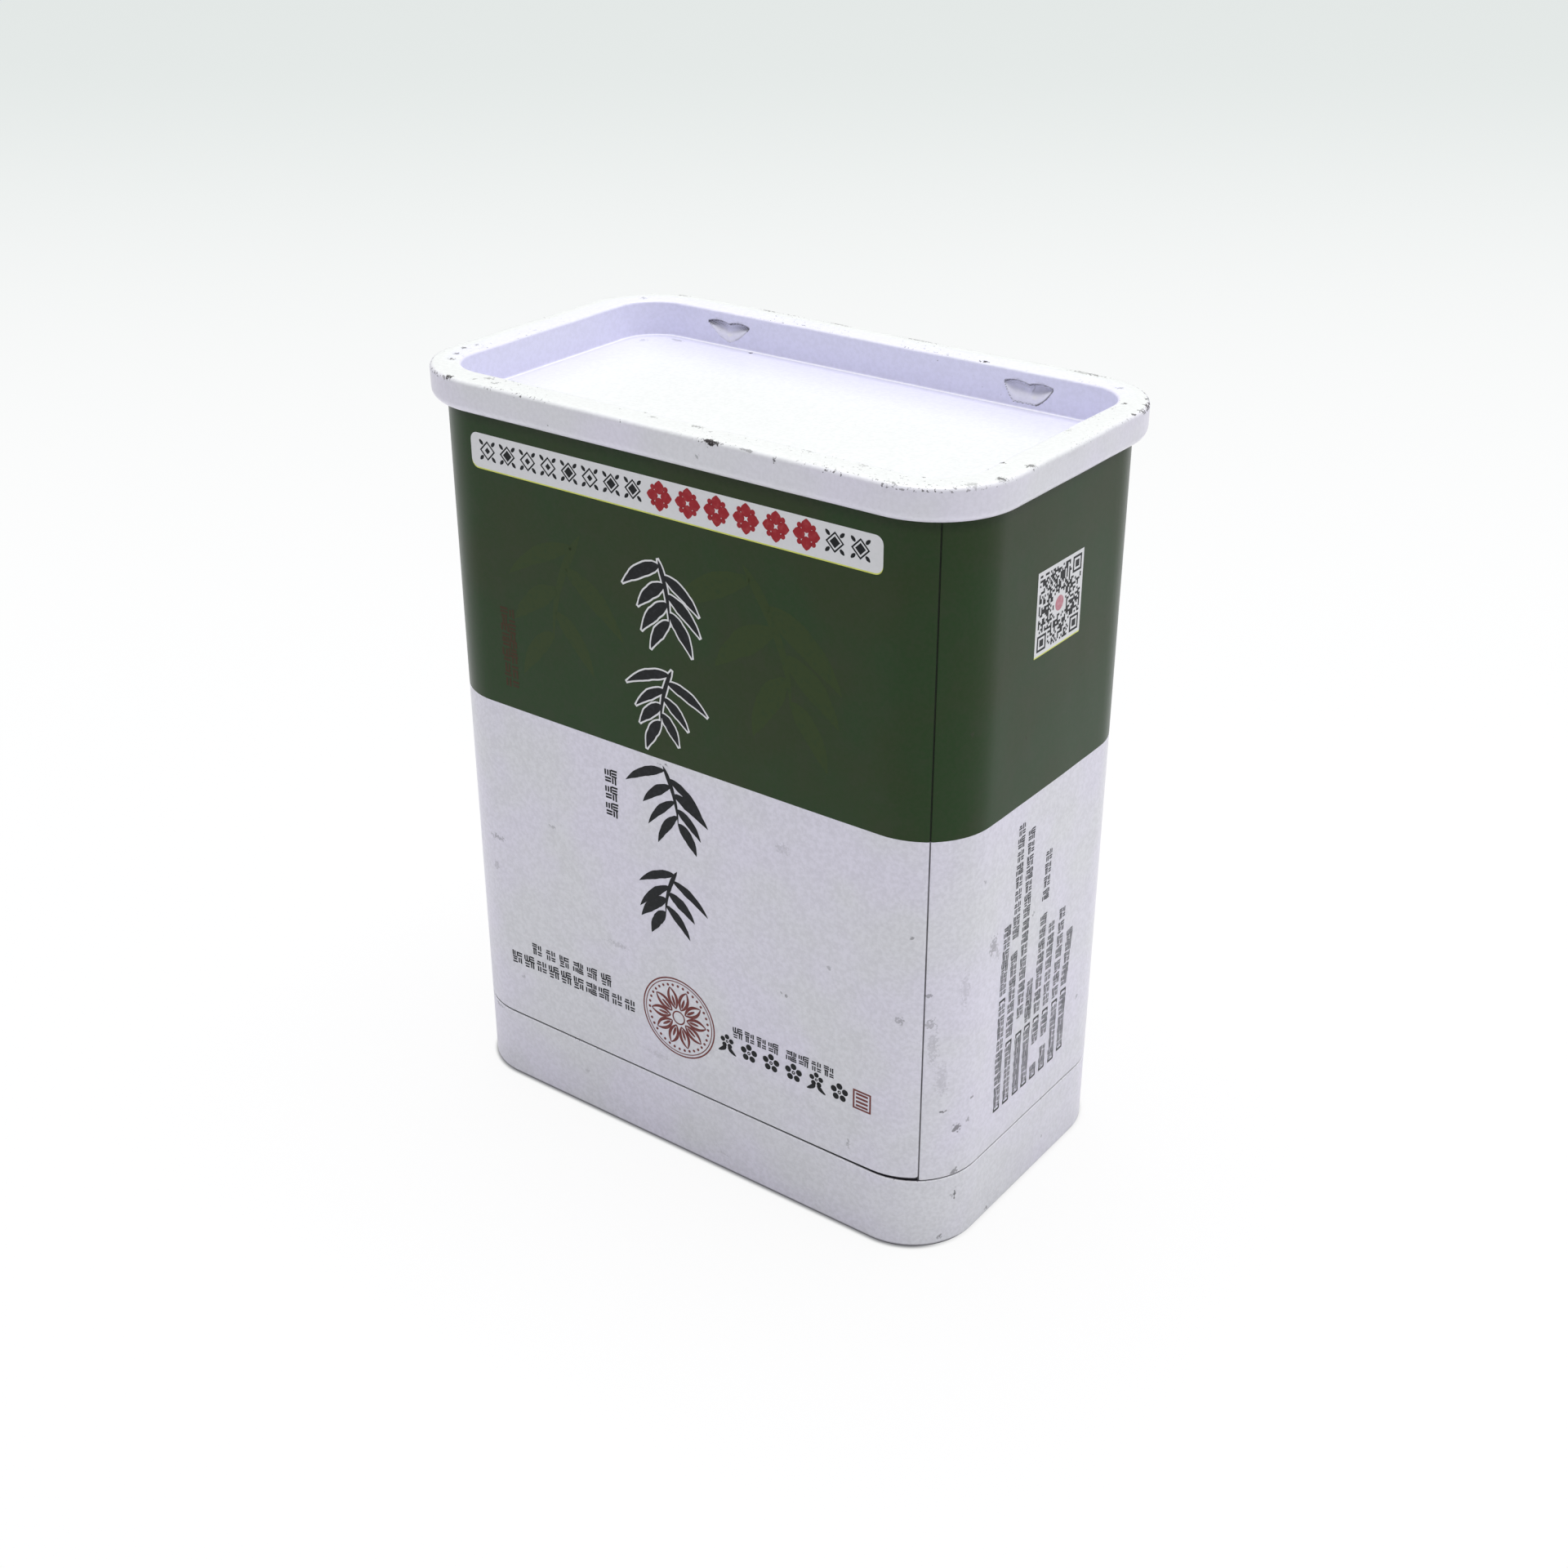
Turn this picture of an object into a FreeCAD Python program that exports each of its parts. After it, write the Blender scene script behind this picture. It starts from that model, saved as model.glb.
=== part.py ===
"""Small rectangular tin for dried goods, standing upside down on its flush lid.

Three pieces: the filled body with its neck and lock seam, the slip lid that
closes flush over the neck, and the drawn base plate whose rim curls over the
body's flange.  Millimetres, +Z up, +X along the wide face, -Y out of the front
face; the origin is the middle of the lid's crown, which is what it stands on.
"""
import FreeCAD
import Part
import math
import os

# ---- overall form -----------------------------------------------------------
BODY_WIDTH = 93.5            # between the two narrow faces
BODY_DEPTH = 52.3            # between the two wide faces
OVERALL_HEIGHT = 120.0       # lid crown to the top of the base rim
CORNER_RADIUS = 10.9         # upright corners of body and lid

SHEET = 0.3                  # lacquered tinplate

# ---- slip lid ---------------------------------------------------------------
LID_HEIGHT = 12.3            # crown to the open edge
LID_CROWN_RADIUS = 0.45      # rolled edge between crown and skirt
LID_SIDE_CLEARANCE = 0.1     # neck to skirt, all round
SEAM_GAP = 0.25              # open line between lid and body

# ---- body -------------------------------------------------------------------
SHOULDER_RADIUS = 0.15       # lower edge of the body panels
LOCK_SEAM_ANGLE = 38.0       # round the front right corner, from the front face
LOCK_SEAM_WIDTH = 0.4        # open line of the fold
LOCK_SEAM_DEPTH = 0.35
LOCK_SEAM_CORNER = 0.6       # rounded panel corners where the seam ends

# ---- drawn base -------------------------------------------------------------
RIM_OVERHANG = 2.05          # rim beyond the body face
RIM_HEIGHT = 5.0             # skirt of the rim
RIM_CURL_RADIUS = 1.6        # lower edge of the rim, curled in under the flange
RIM_EDGE_RADIUS = 0.6        # top outer edge of the rim
BASE_CLEARANCE = 0.05        # base plate to body, at the sides

RECESS_INSET = 2.85          # recess wall inside the body face
RECESS_DEPTH = 5.5           # rim top to the recess floor
RECESS_CORNER_RADIUS = 6.8   # upright corners of the recess wall
RECESS_MOUTH_RADIUS = 0.5    # rim rolls over into the recess
RECESS_FLOOR_RADIUS = 0.45   # floor runs up into the wall

# ---- heart-shaped stakes that lock the base to the body ---------------------
STAKE_SPACING = 54.4         # between the two stakes of one long wall
STAKE_WIDTH = 8.2            # across both lobes
STAKE_HEIGHT = 2.9           # sheared edge down to the point
STAKE_DEPTH = 1.0            # at the sheared upper edge, fading out below
STAKE_BELOW_RIM = 1.9        # rim top to the sheared edge
STAKE_NOTCH = 0.7            # dip between the two lobes
STAKE_BELLY = 0.68           # share of the half width left at the belly
STAKE_BELLY_DROP = 0.75      # share of the height, from the sheared edge to the belly

RIM_BOTTOM_Z = OVERALL_HEIGHT - RIM_HEIGHT
FLOOR_Z = OVERALL_HEIGHT - RECESS_DEPTH
SHOULDER_Z = LID_HEIGHT + SEAM_GAP

Z_AXIS = FreeCAD.Vector(0, 0, 1)
ORIGIN = FreeCAD.Vector(0, 0, 0)
LEVEL_TOLERANCE = 1e-4       # how nearly level an edge must lie to be picked
PAST = 1.0                   # how far a cutting form runs past the face it opens


def rounded_outline(grow, corner_radius, z):
    """Closed wire of the tin's plan, grown outwards by grow from the body face."""
    x = BODY_WIDTH / 2 + grow
    y = BODY_DEPTH / 2 + grow
    diagonal = corner_radius * (1 - math.sqrt(0.5))
    edges = []
    # each corner: where its arc begins, the middle of the arc and where it ends
    for start, middle, end, next_start in (
        ((x, y - corner_radius), (x - diagonal, y - diagonal),
         (x - corner_radius, y), (corner_radius - x, y)),
        ((corner_radius - x, y), (diagonal - x, y - diagonal),
         (-x, y - corner_radius), (-x, corner_radius - y)),
        ((-x, corner_radius - y), (diagonal - x, diagonal - y),
         (corner_radius - x, -y), (x - corner_radius, -y)),
        ((x - corner_radius, -y), (x - diagonal, diagonal - y),
         (x, corner_radius - y), (x, y - corner_radius)),
    ):
        points = [FreeCAD.Vector(px, py, z) for px, py in (start, middle, end, next_start)]
        edges.append(Part.Arc(points[0], points[1], points[2]).toShape())
        edges.append(Part.LineSegment(points[2], points[3]).toShape())
    return Part.Wire(edges)


def prism(grow, corner_radius, z_low, z_high):
    """Upright solid on the tin's plan, grown by grow, between two heights."""
    face = Part.Face(rounded_outline(grow, corner_radius, z_low))
    return face.extrude(Z_AXIS * (z_high - z_low))


def body_prism(grow, z_low, z_high):
    """Prism whose corners stay concentric with the body's own corners."""
    return prism(grow, CORNER_RADIUS + grow, z_low, z_high)


def level_edges(shape, z):
    """The edges of shape that lie in the level plane at height z."""
    found = []
    for edge in shape.Edges:
        box = edge.BoundBox
        if max(abs(box.ZMin - z), abs(box.ZMax - z)) < LEVEL_TOLERANCE:
            found.append(edge)
    return found


def mouth_edges(shape, z):
    """The level edges round the recess: those inside the body's own plan."""
    found = []
    for edge in level_edges(shape, z):
        box = edge.BoundBox
        inside_x = max(abs(box.XMin), abs(box.XMax)) < BODY_WIDTH / 2
        inside_y = max(abs(box.YMin), abs(box.YMax)) < BODY_DEPTH / 2
        if inside_x and inside_y:
            found.append(edge)
    return found


def round_level_edges(shape, radius, z):
    """Round every edge of shape that lies at height z."""
    return shape.makeFillet(radius, level_edges(shape, z))


# ---- stakes -----------------------------------------------------------------
def stake_outline(grow):
    """Heart outline in the XZ plane, its sheared edge at z = 0, point downwards."""
    half = STAKE_WIDTH / 2 + grow
    top = grow
    notch = STAKE_NOTCH - grow
    bottom = STAKE_HEIGHT + grow
    lobe = half / 2
    belly = half * STAKE_BELLY
    drop = bottom * STAKE_BELLY_DROP

    def at(x, z):
        return FreeCAD.Vector(x, 0, z)

    return Part.Wire([
        Part.Arc(at(0, -notch), at(lobe, top), at(half, -notch)).toShape(),
        Part.Arc(at(half, -notch), at(belly, -drop), at(0, -bottom)).toShape(),
        Part.Arc(at(0, -bottom), at(-belly, -drop), at(-half, -notch)).toShape(),
        Part.Arc(at(-half, -notch), at(-lobe, top), at(0, -notch)).toShape(),
    ])


def stake(grow):
    """Wedge on the heart outline that points along +Y from the wall plane y = 0."""
    behind = RECESS_FLOOR_RADIUS
    depth = STAKE_DEPTH + grow
    heart = Part.Face(stake_outline(grow))
    heart.translate(FreeCAD.Vector(0, -behind, 0))
    block = heart.extrude(FreeCAD.Vector(0, behind + depth, 0))
    # the ramp runs from full depth under the sheared edge to nothing at the point
    profile = [(-behind, grow + PAST), (depth, grow + PAST), (depth, -STAKE_NOTCH - grow),
               (grow, -STAKE_HEIGHT - grow), (-behind, -STAKE_HEIGHT - grow)]
    corners = [FreeCAD.Vector(-STAKE_WIDTH, y, z) for y, z in profile + profile[:1]]
    ramp = Part.Face(Part.makePolygon(corners)).extrude(FreeCAD.Vector(2 * STAKE_WIDTH, 0, 0))
    return block.common(ramp)


def stakes(grow):
    """The stakes of both long walls of the recess, pressed outwards."""
    wall_y = BODY_DEPTH / 2 - RECESS_INSET
    placed = []
    for side in (1, -1):
        for end in (1, -1):
            tool = stake(grow)
            tool.translate(FreeCAD.Vector(end * STAKE_SPACING / 2, wall_y,
                                          OVERALL_HEIGHT - STAKE_BELOW_RIM))
            if side < 0:
                tool.rotate(ORIGIN, Z_AXIS, 180)
            placed.append(tool)
    return placed


# ---- shared forms of the base -----------------------------------------------
def recess(grow, floor_z):
    """Space of the recess, grown outwards by grow, down to floor_z."""
    space = prism(grow - RECESS_INSET, RECESS_CORNER_RADIUS + grow, floor_z,
                  OVERALL_HEIGHT + PAST)
    return round_level_edges(space, RECESS_FLOOR_RADIUS + grow, floor_z)


def rim_block(shrink):
    """Rim with the recess taken out, shrunk by shrink from its outer skin."""
    top = OVERALL_HEIGHT - shrink
    bottom = RIM_BOTTOM_Z + shrink
    block = body_prism(RIM_OVERHANG - shrink, bottom, top)
    block = round_level_edges(block, RIM_CURL_RADIUS - shrink, bottom)
    block = round_level_edges(block, RIM_EDGE_RADIUS - shrink, top)
    opening = prism(shrink - RECESS_INSET, RECESS_CORNER_RADIUS + shrink,
                    bottom - PAST, top + PAST)
    ring = block.cut(opening)
    return ring.makeFillet(RECESS_MOUTH_RADIUS - shrink, mouth_edges(ring, top))


# ---- pieces -----------------------------------------------------------------
def make_base():
    """Drawn base plate: recess floor and wall, rolled rim and curled skirt."""
    below_mouth = body_prism(0, FLOOR_Z - SHEET, OVERALL_HEIGHT - RECESS_MOUTH_RADIUS)
    pan = recess(SHEET, FLOOR_Z - SHEET).common(below_mouth)
    body_passage = body_prism(BASE_CLEARANCE, RIM_BOTTOM_Z - PAST, RIM_BOTTOM_Z + 2 * SHEET)
    rim = rim_block(0).cut([rim_block(SHEET), body_passage])
    plate = rim.fuse([pan] + stakes(SHEET))
    return plate.cut([recess(0, FLOOR_Z)] + stakes(0)).removeSplitter()


def lock_seam():
    """Groove of the folded side seam, flaring out into two rounded corners below."""
    half = LOCK_SEAM_WIDTH / 2
    corner = LOCK_SEAM_CORNER
    reach = half + corner
    bend = corner * (1 - math.sqrt(0.5))

    def at(x, z):
        return FreeCAD.Vector(x, 0, z)

    low = SHOULDER_Z - PAST
    top = RIM_BOTTOM_Z + RIM_HEIGHT / 2
    outline = Part.Wire([
        Part.LineSegment(at(-half, top), at(half, top)).toShape(),
        Part.LineSegment(at(half, top), at(half, SHOULDER_Z + corner)).toShape(),
        Part.Arc(at(half, SHOULDER_Z + corner), at(half + bend, SHOULDER_Z + bend),
                 at(reach, SHOULDER_Z)).toShape(),
        Part.LineSegment(at(reach, SHOULDER_Z), at(reach, low)).toShape(),
        Part.LineSegment(at(reach, low), at(-reach, low)).toShape(),
        Part.LineSegment(at(-reach, low), at(-reach, SHOULDER_Z)).toShape(),
        Part.Arc(at(-reach, SHOULDER_Z), at(-half - bend, SHOULDER_Z + bend),
                 at(-half, SHOULDER_Z + corner)).toShape(),
        Part.LineSegment(at(-half, SHOULDER_Z + corner), at(-half, top)).toShape(),
    ])
    groove = Part.Face(outline).extrude(FreeCAD.Vector(0, -2 * LOCK_SEAM_DEPTH, 0))
    groove.translate(FreeCAD.Vector(0, LOCK_SEAM_DEPTH - CORNER_RADIUS, 0))
    groove.rotate(ORIGIN, Z_AXIS, LOCK_SEAM_ANGLE)
    groove.translate(FreeCAD.Vector(BODY_WIDTH / 2 - CORNER_RADIUS,
                                    CORNER_RADIUS - BODY_DEPTH / 2, 0))
    return groove


def make_body():
    """Filled body: neck inside the lid, panels, and the flange under the rim."""
    top = OVERALL_HEIGHT - SHEET
    panels = body_prism(0, SHOULDER_Z, top)
    panels = round_level_edges(panels, SHOULDER_RADIUS, SHOULDER_Z)
    panels = panels.cut(lock_seam())
    # the flange ends where the flat underside of the rim's top does
    flange = body_prism(RIM_OVERHANG - RIM_EDGE_RADIUS, top - SHEET, top)
    neck = body_prism(-SHEET - LID_SIDE_CLEARANCE, SHEET, SHOULDER_Z + SHOULDER_RADIUS)
    neck = round_level_edges(neck, LID_CROWN_RADIUS - SHEET, SHEET)

    body = panels.fuse([flange, neck])
    body = body.cut(recess(SHEET + BASE_CLEARANCE, FLOOR_Z - SHEET))
    body = body.makeFillet(RECESS_MOUTH_RADIUS - SHEET, mouth_edges(body, top))
    return body.cut(stakes(SHEET + BASE_CLEARANCE)).removeSplitter()


def make_lid():
    """Slip lid: drawn cap, open upwards in this standing position."""
    cap = body_prism(0, 0, LID_HEIGHT)
    cap = round_level_edges(cap, LID_CROWN_RADIUS, 0)
    inside = body_prism(-SHEET, SHEET, LID_HEIGHT + PAST)
    inside = round_level_edges(inside, LID_CROWN_RADIUS - SHEET, SHEET)
    return cap.cut(inside)


def main():
    """Build each piece and write it as its own STEP file."""
    os.makedirs("parts", exist_ok=True)
    for name, make in (("body", make_body), ("lid", make_lid), ("base", make_base)):
        piece = make()
        solids = piece.Solids
        if len(solids) != 1 or not piece.isValid():
            raise RuntimeError(f"{name}: {len(solids)} solids, valid {piece.isValid()}")
        solids[0].exportStep(f"parts/{name}.step")
        print(f"{name}: {solids[0].Volume / 1000:.2f} cm3")


if __name__ == "__main__":
    main()
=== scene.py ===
"""Lacquered food tin standing upside down on its slip lid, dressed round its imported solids."""

import logging
from dataclasses import dataclass, field, replace
from enum import Enum
from math import cos, pi, radians, sin, sqrt, tau
from typing import Any, Callable, Iterable, Iterator, Sequence

import bpy
import numpy as np
from bpy.types import Collection, Material, Mesh, NodeSocket, NodeTree, Object
from mathutils import Matrix, Vector


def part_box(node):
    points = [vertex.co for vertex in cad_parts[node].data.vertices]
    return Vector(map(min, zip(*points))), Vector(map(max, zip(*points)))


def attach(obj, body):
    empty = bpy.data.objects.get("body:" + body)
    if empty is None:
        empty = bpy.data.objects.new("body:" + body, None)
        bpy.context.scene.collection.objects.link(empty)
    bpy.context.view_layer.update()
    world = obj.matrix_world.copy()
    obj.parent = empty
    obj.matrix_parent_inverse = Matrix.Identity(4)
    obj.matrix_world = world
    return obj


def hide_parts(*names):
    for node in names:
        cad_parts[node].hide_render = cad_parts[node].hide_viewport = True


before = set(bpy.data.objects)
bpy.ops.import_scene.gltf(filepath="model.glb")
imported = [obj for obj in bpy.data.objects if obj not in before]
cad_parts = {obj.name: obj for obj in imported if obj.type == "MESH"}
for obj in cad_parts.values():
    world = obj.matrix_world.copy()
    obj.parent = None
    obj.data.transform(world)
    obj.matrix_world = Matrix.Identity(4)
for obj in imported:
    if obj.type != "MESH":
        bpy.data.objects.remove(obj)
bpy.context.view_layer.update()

LOG = logging.getLogger("tin")
MM = 0.001
SRGB_STEPS = 255.0
SHARP_TURN = radians(50)
RIPPLE_WAVES = 5
# Skin layers: real wear; then painted shade with cracks, bluish hollow shade, highlight, lit tops.
LAYERS = ("wear", "crease", "hollow", "shine", "level")
TINY = 1e-6

Colour = tuple[float, float, float]
Pair = tuple[float, float]
Triple = tuple[float, float, float]
Run = tuple[float, float, int]
Array = np.ndarray
Layers = dict[str, Array]


def shade(red: int, green: int, blue: int) -> Colour:
    """Turn a colour as a screen shows it, 0 to 255, into linear light, 0 to 1."""
    shares = [share / SRGB_STEPS for share in (red, green, blue)]
    return tuple(s / 12.92 if s <= 0.04045 else ((s + 0.055) / 1.055) ** 2.4 for s in shares)


def ease(values: Any, low: float, high: float) -> Array:
    """Rise smoothly from 0 at low to 1 at high."""
    share = np.clip((np.asarray(values, float) - low) / (high - low), 0.0, 1.0)
    return share * share * (3 - 2 * share)


def bell(values: Any, middle: Any, width: float) -> Array:
    """A soft bump that is 1 at its middle and fades over its width."""
    return np.exp(-((values - middle) / width) ** 2)


# ---- nodes ----
class Wire:
    """A node's output, on which sums add Math nodes."""

    def __init__(self, graph: "Graph", socket: NodeSocket) -> None:
        """Keep the socket and the graph that it belongs to."""
        self.graph = graph
        self.socket = socket

    def __add__(self, other: "Wire | float") -> "Wire":
        """Add."""
        return self.graph.sum("ADD", self, other)

    __radd__ = __add__

    def __sub__(self, other: "Wire | float") -> "Wire":
        """Take other away."""
        return self.graph.sum("SUBTRACT", self, other)

    def __rsub__(self, other: float) -> "Wire":
        """Take this away from other."""
        return self.graph.sum("SUBTRACT", other, self)

    def __mul__(self, other: "Wire | float") -> "Wire":
        """Multiply."""
        return self.graph.sum("MULTIPLY", self, other)

    __rmul__ = __mul__

    def __truediv__(self, other: "Wire | float") -> "Wire":
        """Divide by other."""
        return self.graph.sum("DIVIDE", self, other)

    def __rtruediv__(self, other: float) -> "Wire":
        """Divide other by this."""
        return self.graph.sum("DIVIDE", other, self)

    def other(self, name: str) -> "Wire":
        """Take another output of the same node."""
        return Wire(self.graph, self.socket.node.outputs[name])

    def either(self, other: "Wire | float") -> "Wire":
        """Keep the larger of the two."""
        return self.graph.sum("MAXIMUM", self, other)

    def rise(self, low: "Wire | float", high: "Wire | float") -> "Wire":
        """Rise smoothly from 0 at low to 1 at high."""
        return self.graph.node("ShaderNodeMapRange", {"interpolation_type": "SMOOTHSTEP"},
                               {"Value": self, "From Min": low, "From Max": high})


class Graph:
    """A node tree that is being built."""

    given: Wire | None = None

    def __init__(self, tree: NodeTree) -> None:
        """Empty the tree and keep it."""
        tree.nodes.clear()
        self.tree = tree

    def __getitem__(self, name: str) -> Wire:
        """Read one of the tree's named inputs."""
        return self.given.other(name)

    def place(self) -> Wire:
        """Read the object coordinates."""
        return self.node("ShaderNodeTexCoord", output="Object")

    def painted(self, layer: str) -> Wire:
        """Read one of a mesh's painted layers."""
        return self.node("ShaderNodeAttribute", {"attribute_name": layer}, output="Fac")

    def split(self, vector: Wire) -> dict[str, Wire]:
        """Take the three parts of a vector."""
        part = self.node("ShaderNodeSeparateXYZ", {}, {"Vector": vector})
        return {axis: part.other(axis) for axis in "XYZ"}

    def node(self, kind: str, settings: dict[str, Any] | None = None,
             inputs: dict[Any, Any] | None = None, output: Any = 0) -> Wire:
        """Add a node.

        Args:
            kind: Blender's name of the node type.
            settings: The node's own properties, set first.
            inputs: Value or Wire for each input, by name or number.
            output: Name or number of the output to hand back.

        Returns:
            The chosen output.
        """
        made = self.tree.nodes.new(kind)
        for name, value in (settings or {}).items():
            setattr(made, name, value)
        for key, value in (inputs or {}).items():
            if isinstance(value, Wire):
                self.tree.links.new(value.socket, made.inputs[key])
            else:
                made.inputs[key].default_value = value
        outputs = [s for s in made.outputs if s.enabled]
        return Wire(self, (made.outputs[output] if isinstance(output, str) else outputs[output])
                    if outputs else None)

    def sum(self, operation: str, first: "Wire | float", second: "Wire | float") -> Wire:
        """Add a Math node on two numbers."""
        return self.node("ShaderNodeMath", {"operation": operation}, {0: first, 1: second})

    def blend(self, share: "Wire | float", first: Any, second: Any) -> Wire:
        """Mix two colours: the first at a share of 0, the second at 1."""
        first, second = [c if isinstance(c, Wire) else (*c, 1.0) for c in (first, second)]
        return self.node("ShaderNodeMix", {"data_type": "RGBA"}, {0: share, 6: first, 7: second})

    def grain(self, place: Wire, kind: "Grain", detail: float = 2.0) -> Wire:
        """Add noise of about 0 to 1, with so many octaves of finer detail."""
        return self.node("ShaderNodeTexNoise", {},
                         {"Vector": place, "Scale": kind.value, "Detail": detail})


def new_tree(name: str, sockets: dict[str, str]) -> Graph:
    """Make an empty geometry node tree with named inputs.

    Args:
        name: The tree's name.
        sockets: Kind of value that each named input takes.

    Returns:
        The graph that fills the tree.
    """
    tree = bpy.data.node_groups.new(name, "GeometryNodeTree")
    tree.interface.new_socket("Geometry", in_out="OUTPUT", socket_type="NodeSocketGeometry")
    for socket, kind in sockets.items():
        tree.interface.new_socket(socket, in_out="INPUT", socket_type=f"NodeSocket{kind}")
    graph = Graph(tree)
    graph.given = graph.node("NodeGroupInput")
    return graph


def end_tree(graph: Graph, shape: Wire, finish: Wire) -> NodeTree:
    """End a geometry node tree: instances made real, then their material.

    Args:
        graph: The tree's graph.
        shape: What the tree has made.
        finish: The input that holds its material.

    Returns:
        The finished tree.
    """
    real = graph.node("GeometryNodeRealizeInstances", {}, {"Geometry": shape})
    dressed = graph.node("GeometryNodeSetMaterial", {}, {"Geometry": real, "Material": finish})
    graph.node("NodeGroupOutput", {}, {"Geometry": dressed})
    return graph.tree


def grown(tree: NodeTree, values: dict[str, Any], name: str) -> Mesh:
    """Run a geometry node tree and keep what it makes as a plain mesh.

    Args:
        tree: The tree.
        values: A value for each of its named inputs.
        name: The mesh's name.

    Returns:
        The plain mesh.
    """
    carrier = bpy.data.objects.new("carrier", bpy.data.meshes.new("carrier"))
    bpy.context.scene.collection.objects.link(carrier)
    modifier = carrier.modifiers.new("grow", "NODES")
    modifier.node_group = tree
    for item in tree.interface.items_tree:
        if item.in_out == "INPUT":
            modifier[item.identifier] = values[item.name]
    depsgraph = bpy.context.evaluated_depsgraph_get()
    made = bpy.data.meshes.new_from_object(carrier.evaluated_get(depsgraph))
    carrier.modifiers.remove(modifier)
    bpy.data.objects.remove(carrier)
    made.name = name
    return made


def new_material(name: str) -> tuple[Material, Graph]:
    """Make an empty material.

    Args:
        name: The material's name.

    Returns:
        The material and the graph that fills it.
    """
    material = bpy.data.materials.new(name)
    material.use_nodes = True
    return material, Graph(material.node_tree)


# ---- finishes ----
class Grain(Enum):
    """Noises of the finishes, in features per metre."""

    BROAD = 60.0
    CLUSTER = 70.0
    PATCH = 230.0
    FINE = 900.0
    INK = 1300.0
    DUST = 1500.0
    DOT = 1700.0
    SPECK = 2300.0
    FLAKE = 2600.0


@dataclass(frozen=True)
class Soil:
    """A rubbed or dirty spot: place and half width in mm, darkness, stretch up and across."""

    across: float
    back: float
    up: float
    size: float
    strength: float = 0.6
    tall: float = 1.0
    long: float = 1.0


def soils(*rows: Sequence[float]) -> tuple[Soil, ...]:
    """List spots, each row in the order of a spot's own values."""
    return tuple(Soil(*row) for row in rows)


@dataclass(frozen=True)
class Enamel:
    """Stoved enamel on tinplate: mottling, fine specks, the soil of use, and painted shade and
    highlights.
    """

    name: str
    tint: Colour
    second_tint: Colour
    soil_tint: Colour
    soils: tuple[Soil, ...] = ()
    gloss_roughness: float = 0.3
    gloss_level: float = 0.40
    chips: float = 0.0
    # Tints of painted light: bluish hollow shade, highlight, lit tops, and shade in gaps.
    hollow_tint: Colour | None = None
    shine_tint: Colour = (0.96, 0.95, 1.0)
    level_tint: Colour = shade(230, 232, 230)
    crease_tint: Colour = shade(54, 51, 58)
    mottle: float = 0.045
    speckle: float = 0.11
    dust: float = 0.10
    ragged: float = 3.0
    worn_lift: float = 0.14
    orange_peel: float = 0.000004

    def soiled(self, graph: Graph, place: Wire) -> Wire:
        """Add up the soil of every spot.

        Args:
            graph: The material's graph.
            place: Object coordinates.

        Returns:
            How much soil covers a point, 0 to 1.
        """
        flakes = graph.grain(place, Grain.FLAKE) - 0.5
        total = graph.grain(place, Grain.DUST, 3.0).rise(0.70, 0.80) * self.dust
        for spot in self.soils:
            stretch = graph.node("ShaderNodeMapping", {"vector_type": "TEXTURE"}, {
                "Vector": place,
                "Location": (spot.across * MM, spot.back * MM, spot.up * MM),
                "Scale": (spot.size * spot.long * MM, spot.size * MM, spot.size * spot.tall * MM)})
            away = graph.node("ShaderNodeVectorMath", {"operation": "LENGTH"}, {0: stretch},
                              "Value")
            inside = 1 - (away + flakes * self.ragged).rise(0.40, 0.90)
            near = 1 - away.rise(1.2, 1.7)
            total = total.either(inside * near * spot.strength)
        return total

    def material(self) -> Material:
        """Build the finish as a material.

        Returns:
            The material.
        """
        material, graph = new_material(self.name)
        place = graph.place()
        broad = graph.grain(place, Grain.BROAD)
        fine = graph.grain(place, Grain.FINE)
        patches = graph.grain(place, Grain.PATCH, 3.0)
        base = graph.blend(broad.rise(0.35, 0.65), self.tint, self.second_tint)
        base = graph.blend(patches.rise(0.48, 0.80) * self.mottle, base, self.soil_tint)
        # Painted light: faces that look up take a lit tone, hollows a bluish shade.
        if self.hollow_tint:
            base = graph.blend(graph.painted("level"), base, self.level_tint)
            base = graph.blend(graph.painted("hollow"), base, self.hollow_tint)
        # Painted highlights.
        base = graph.blend(graph.painted("shine"), base, self.shine_tint)
        soil = self.soiled(graph, place)
        if self.chips:
            worn = graph.painted("wear")
            cluster = graph.grain(place, Grain.CLUSTER).rise(0.47, 0.66).either((worn - 1.0) * 2.0)
            specks = graph.grain(place, Grain.SPECK) + worn * self.worn_lift
            soil = soil.either(specks.rise(0.745, 0.80) * cluster * self.chips)
        base = graph.blend(soil, base, self.soil_tint)
        # Painted shade in gaps, under overhangs and at the foot; cracked paint at the stakes.
        base = graph.blend(graph.painted("crease"), base, self.crease_tint)
        dots = graph.grain(place, Grain.DOT).rise(0.3, 0.7)
        base = graph.blend(dots * self.speckle, base, self.soil_tint)
        bump = graph.node("ShaderNodeBump", {}, {
            "Height": fine + broad * 3, "Distance": self.orange_peel, "Strength": 0.6})
        shader = graph.node("ShaderNodeBsdfPrincipled", {}, {
            "Base Color": base,
            "Roughness": soil * 0.3 + fine * 0.06 + (self.gloss_roughness - 0.03),
            "Specular IOR Level": self.gloss_level,
            "Normal": bump})
        graph.node("ShaderNodeOutputMaterial", {}, {"Surface": shader})
        return material


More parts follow.
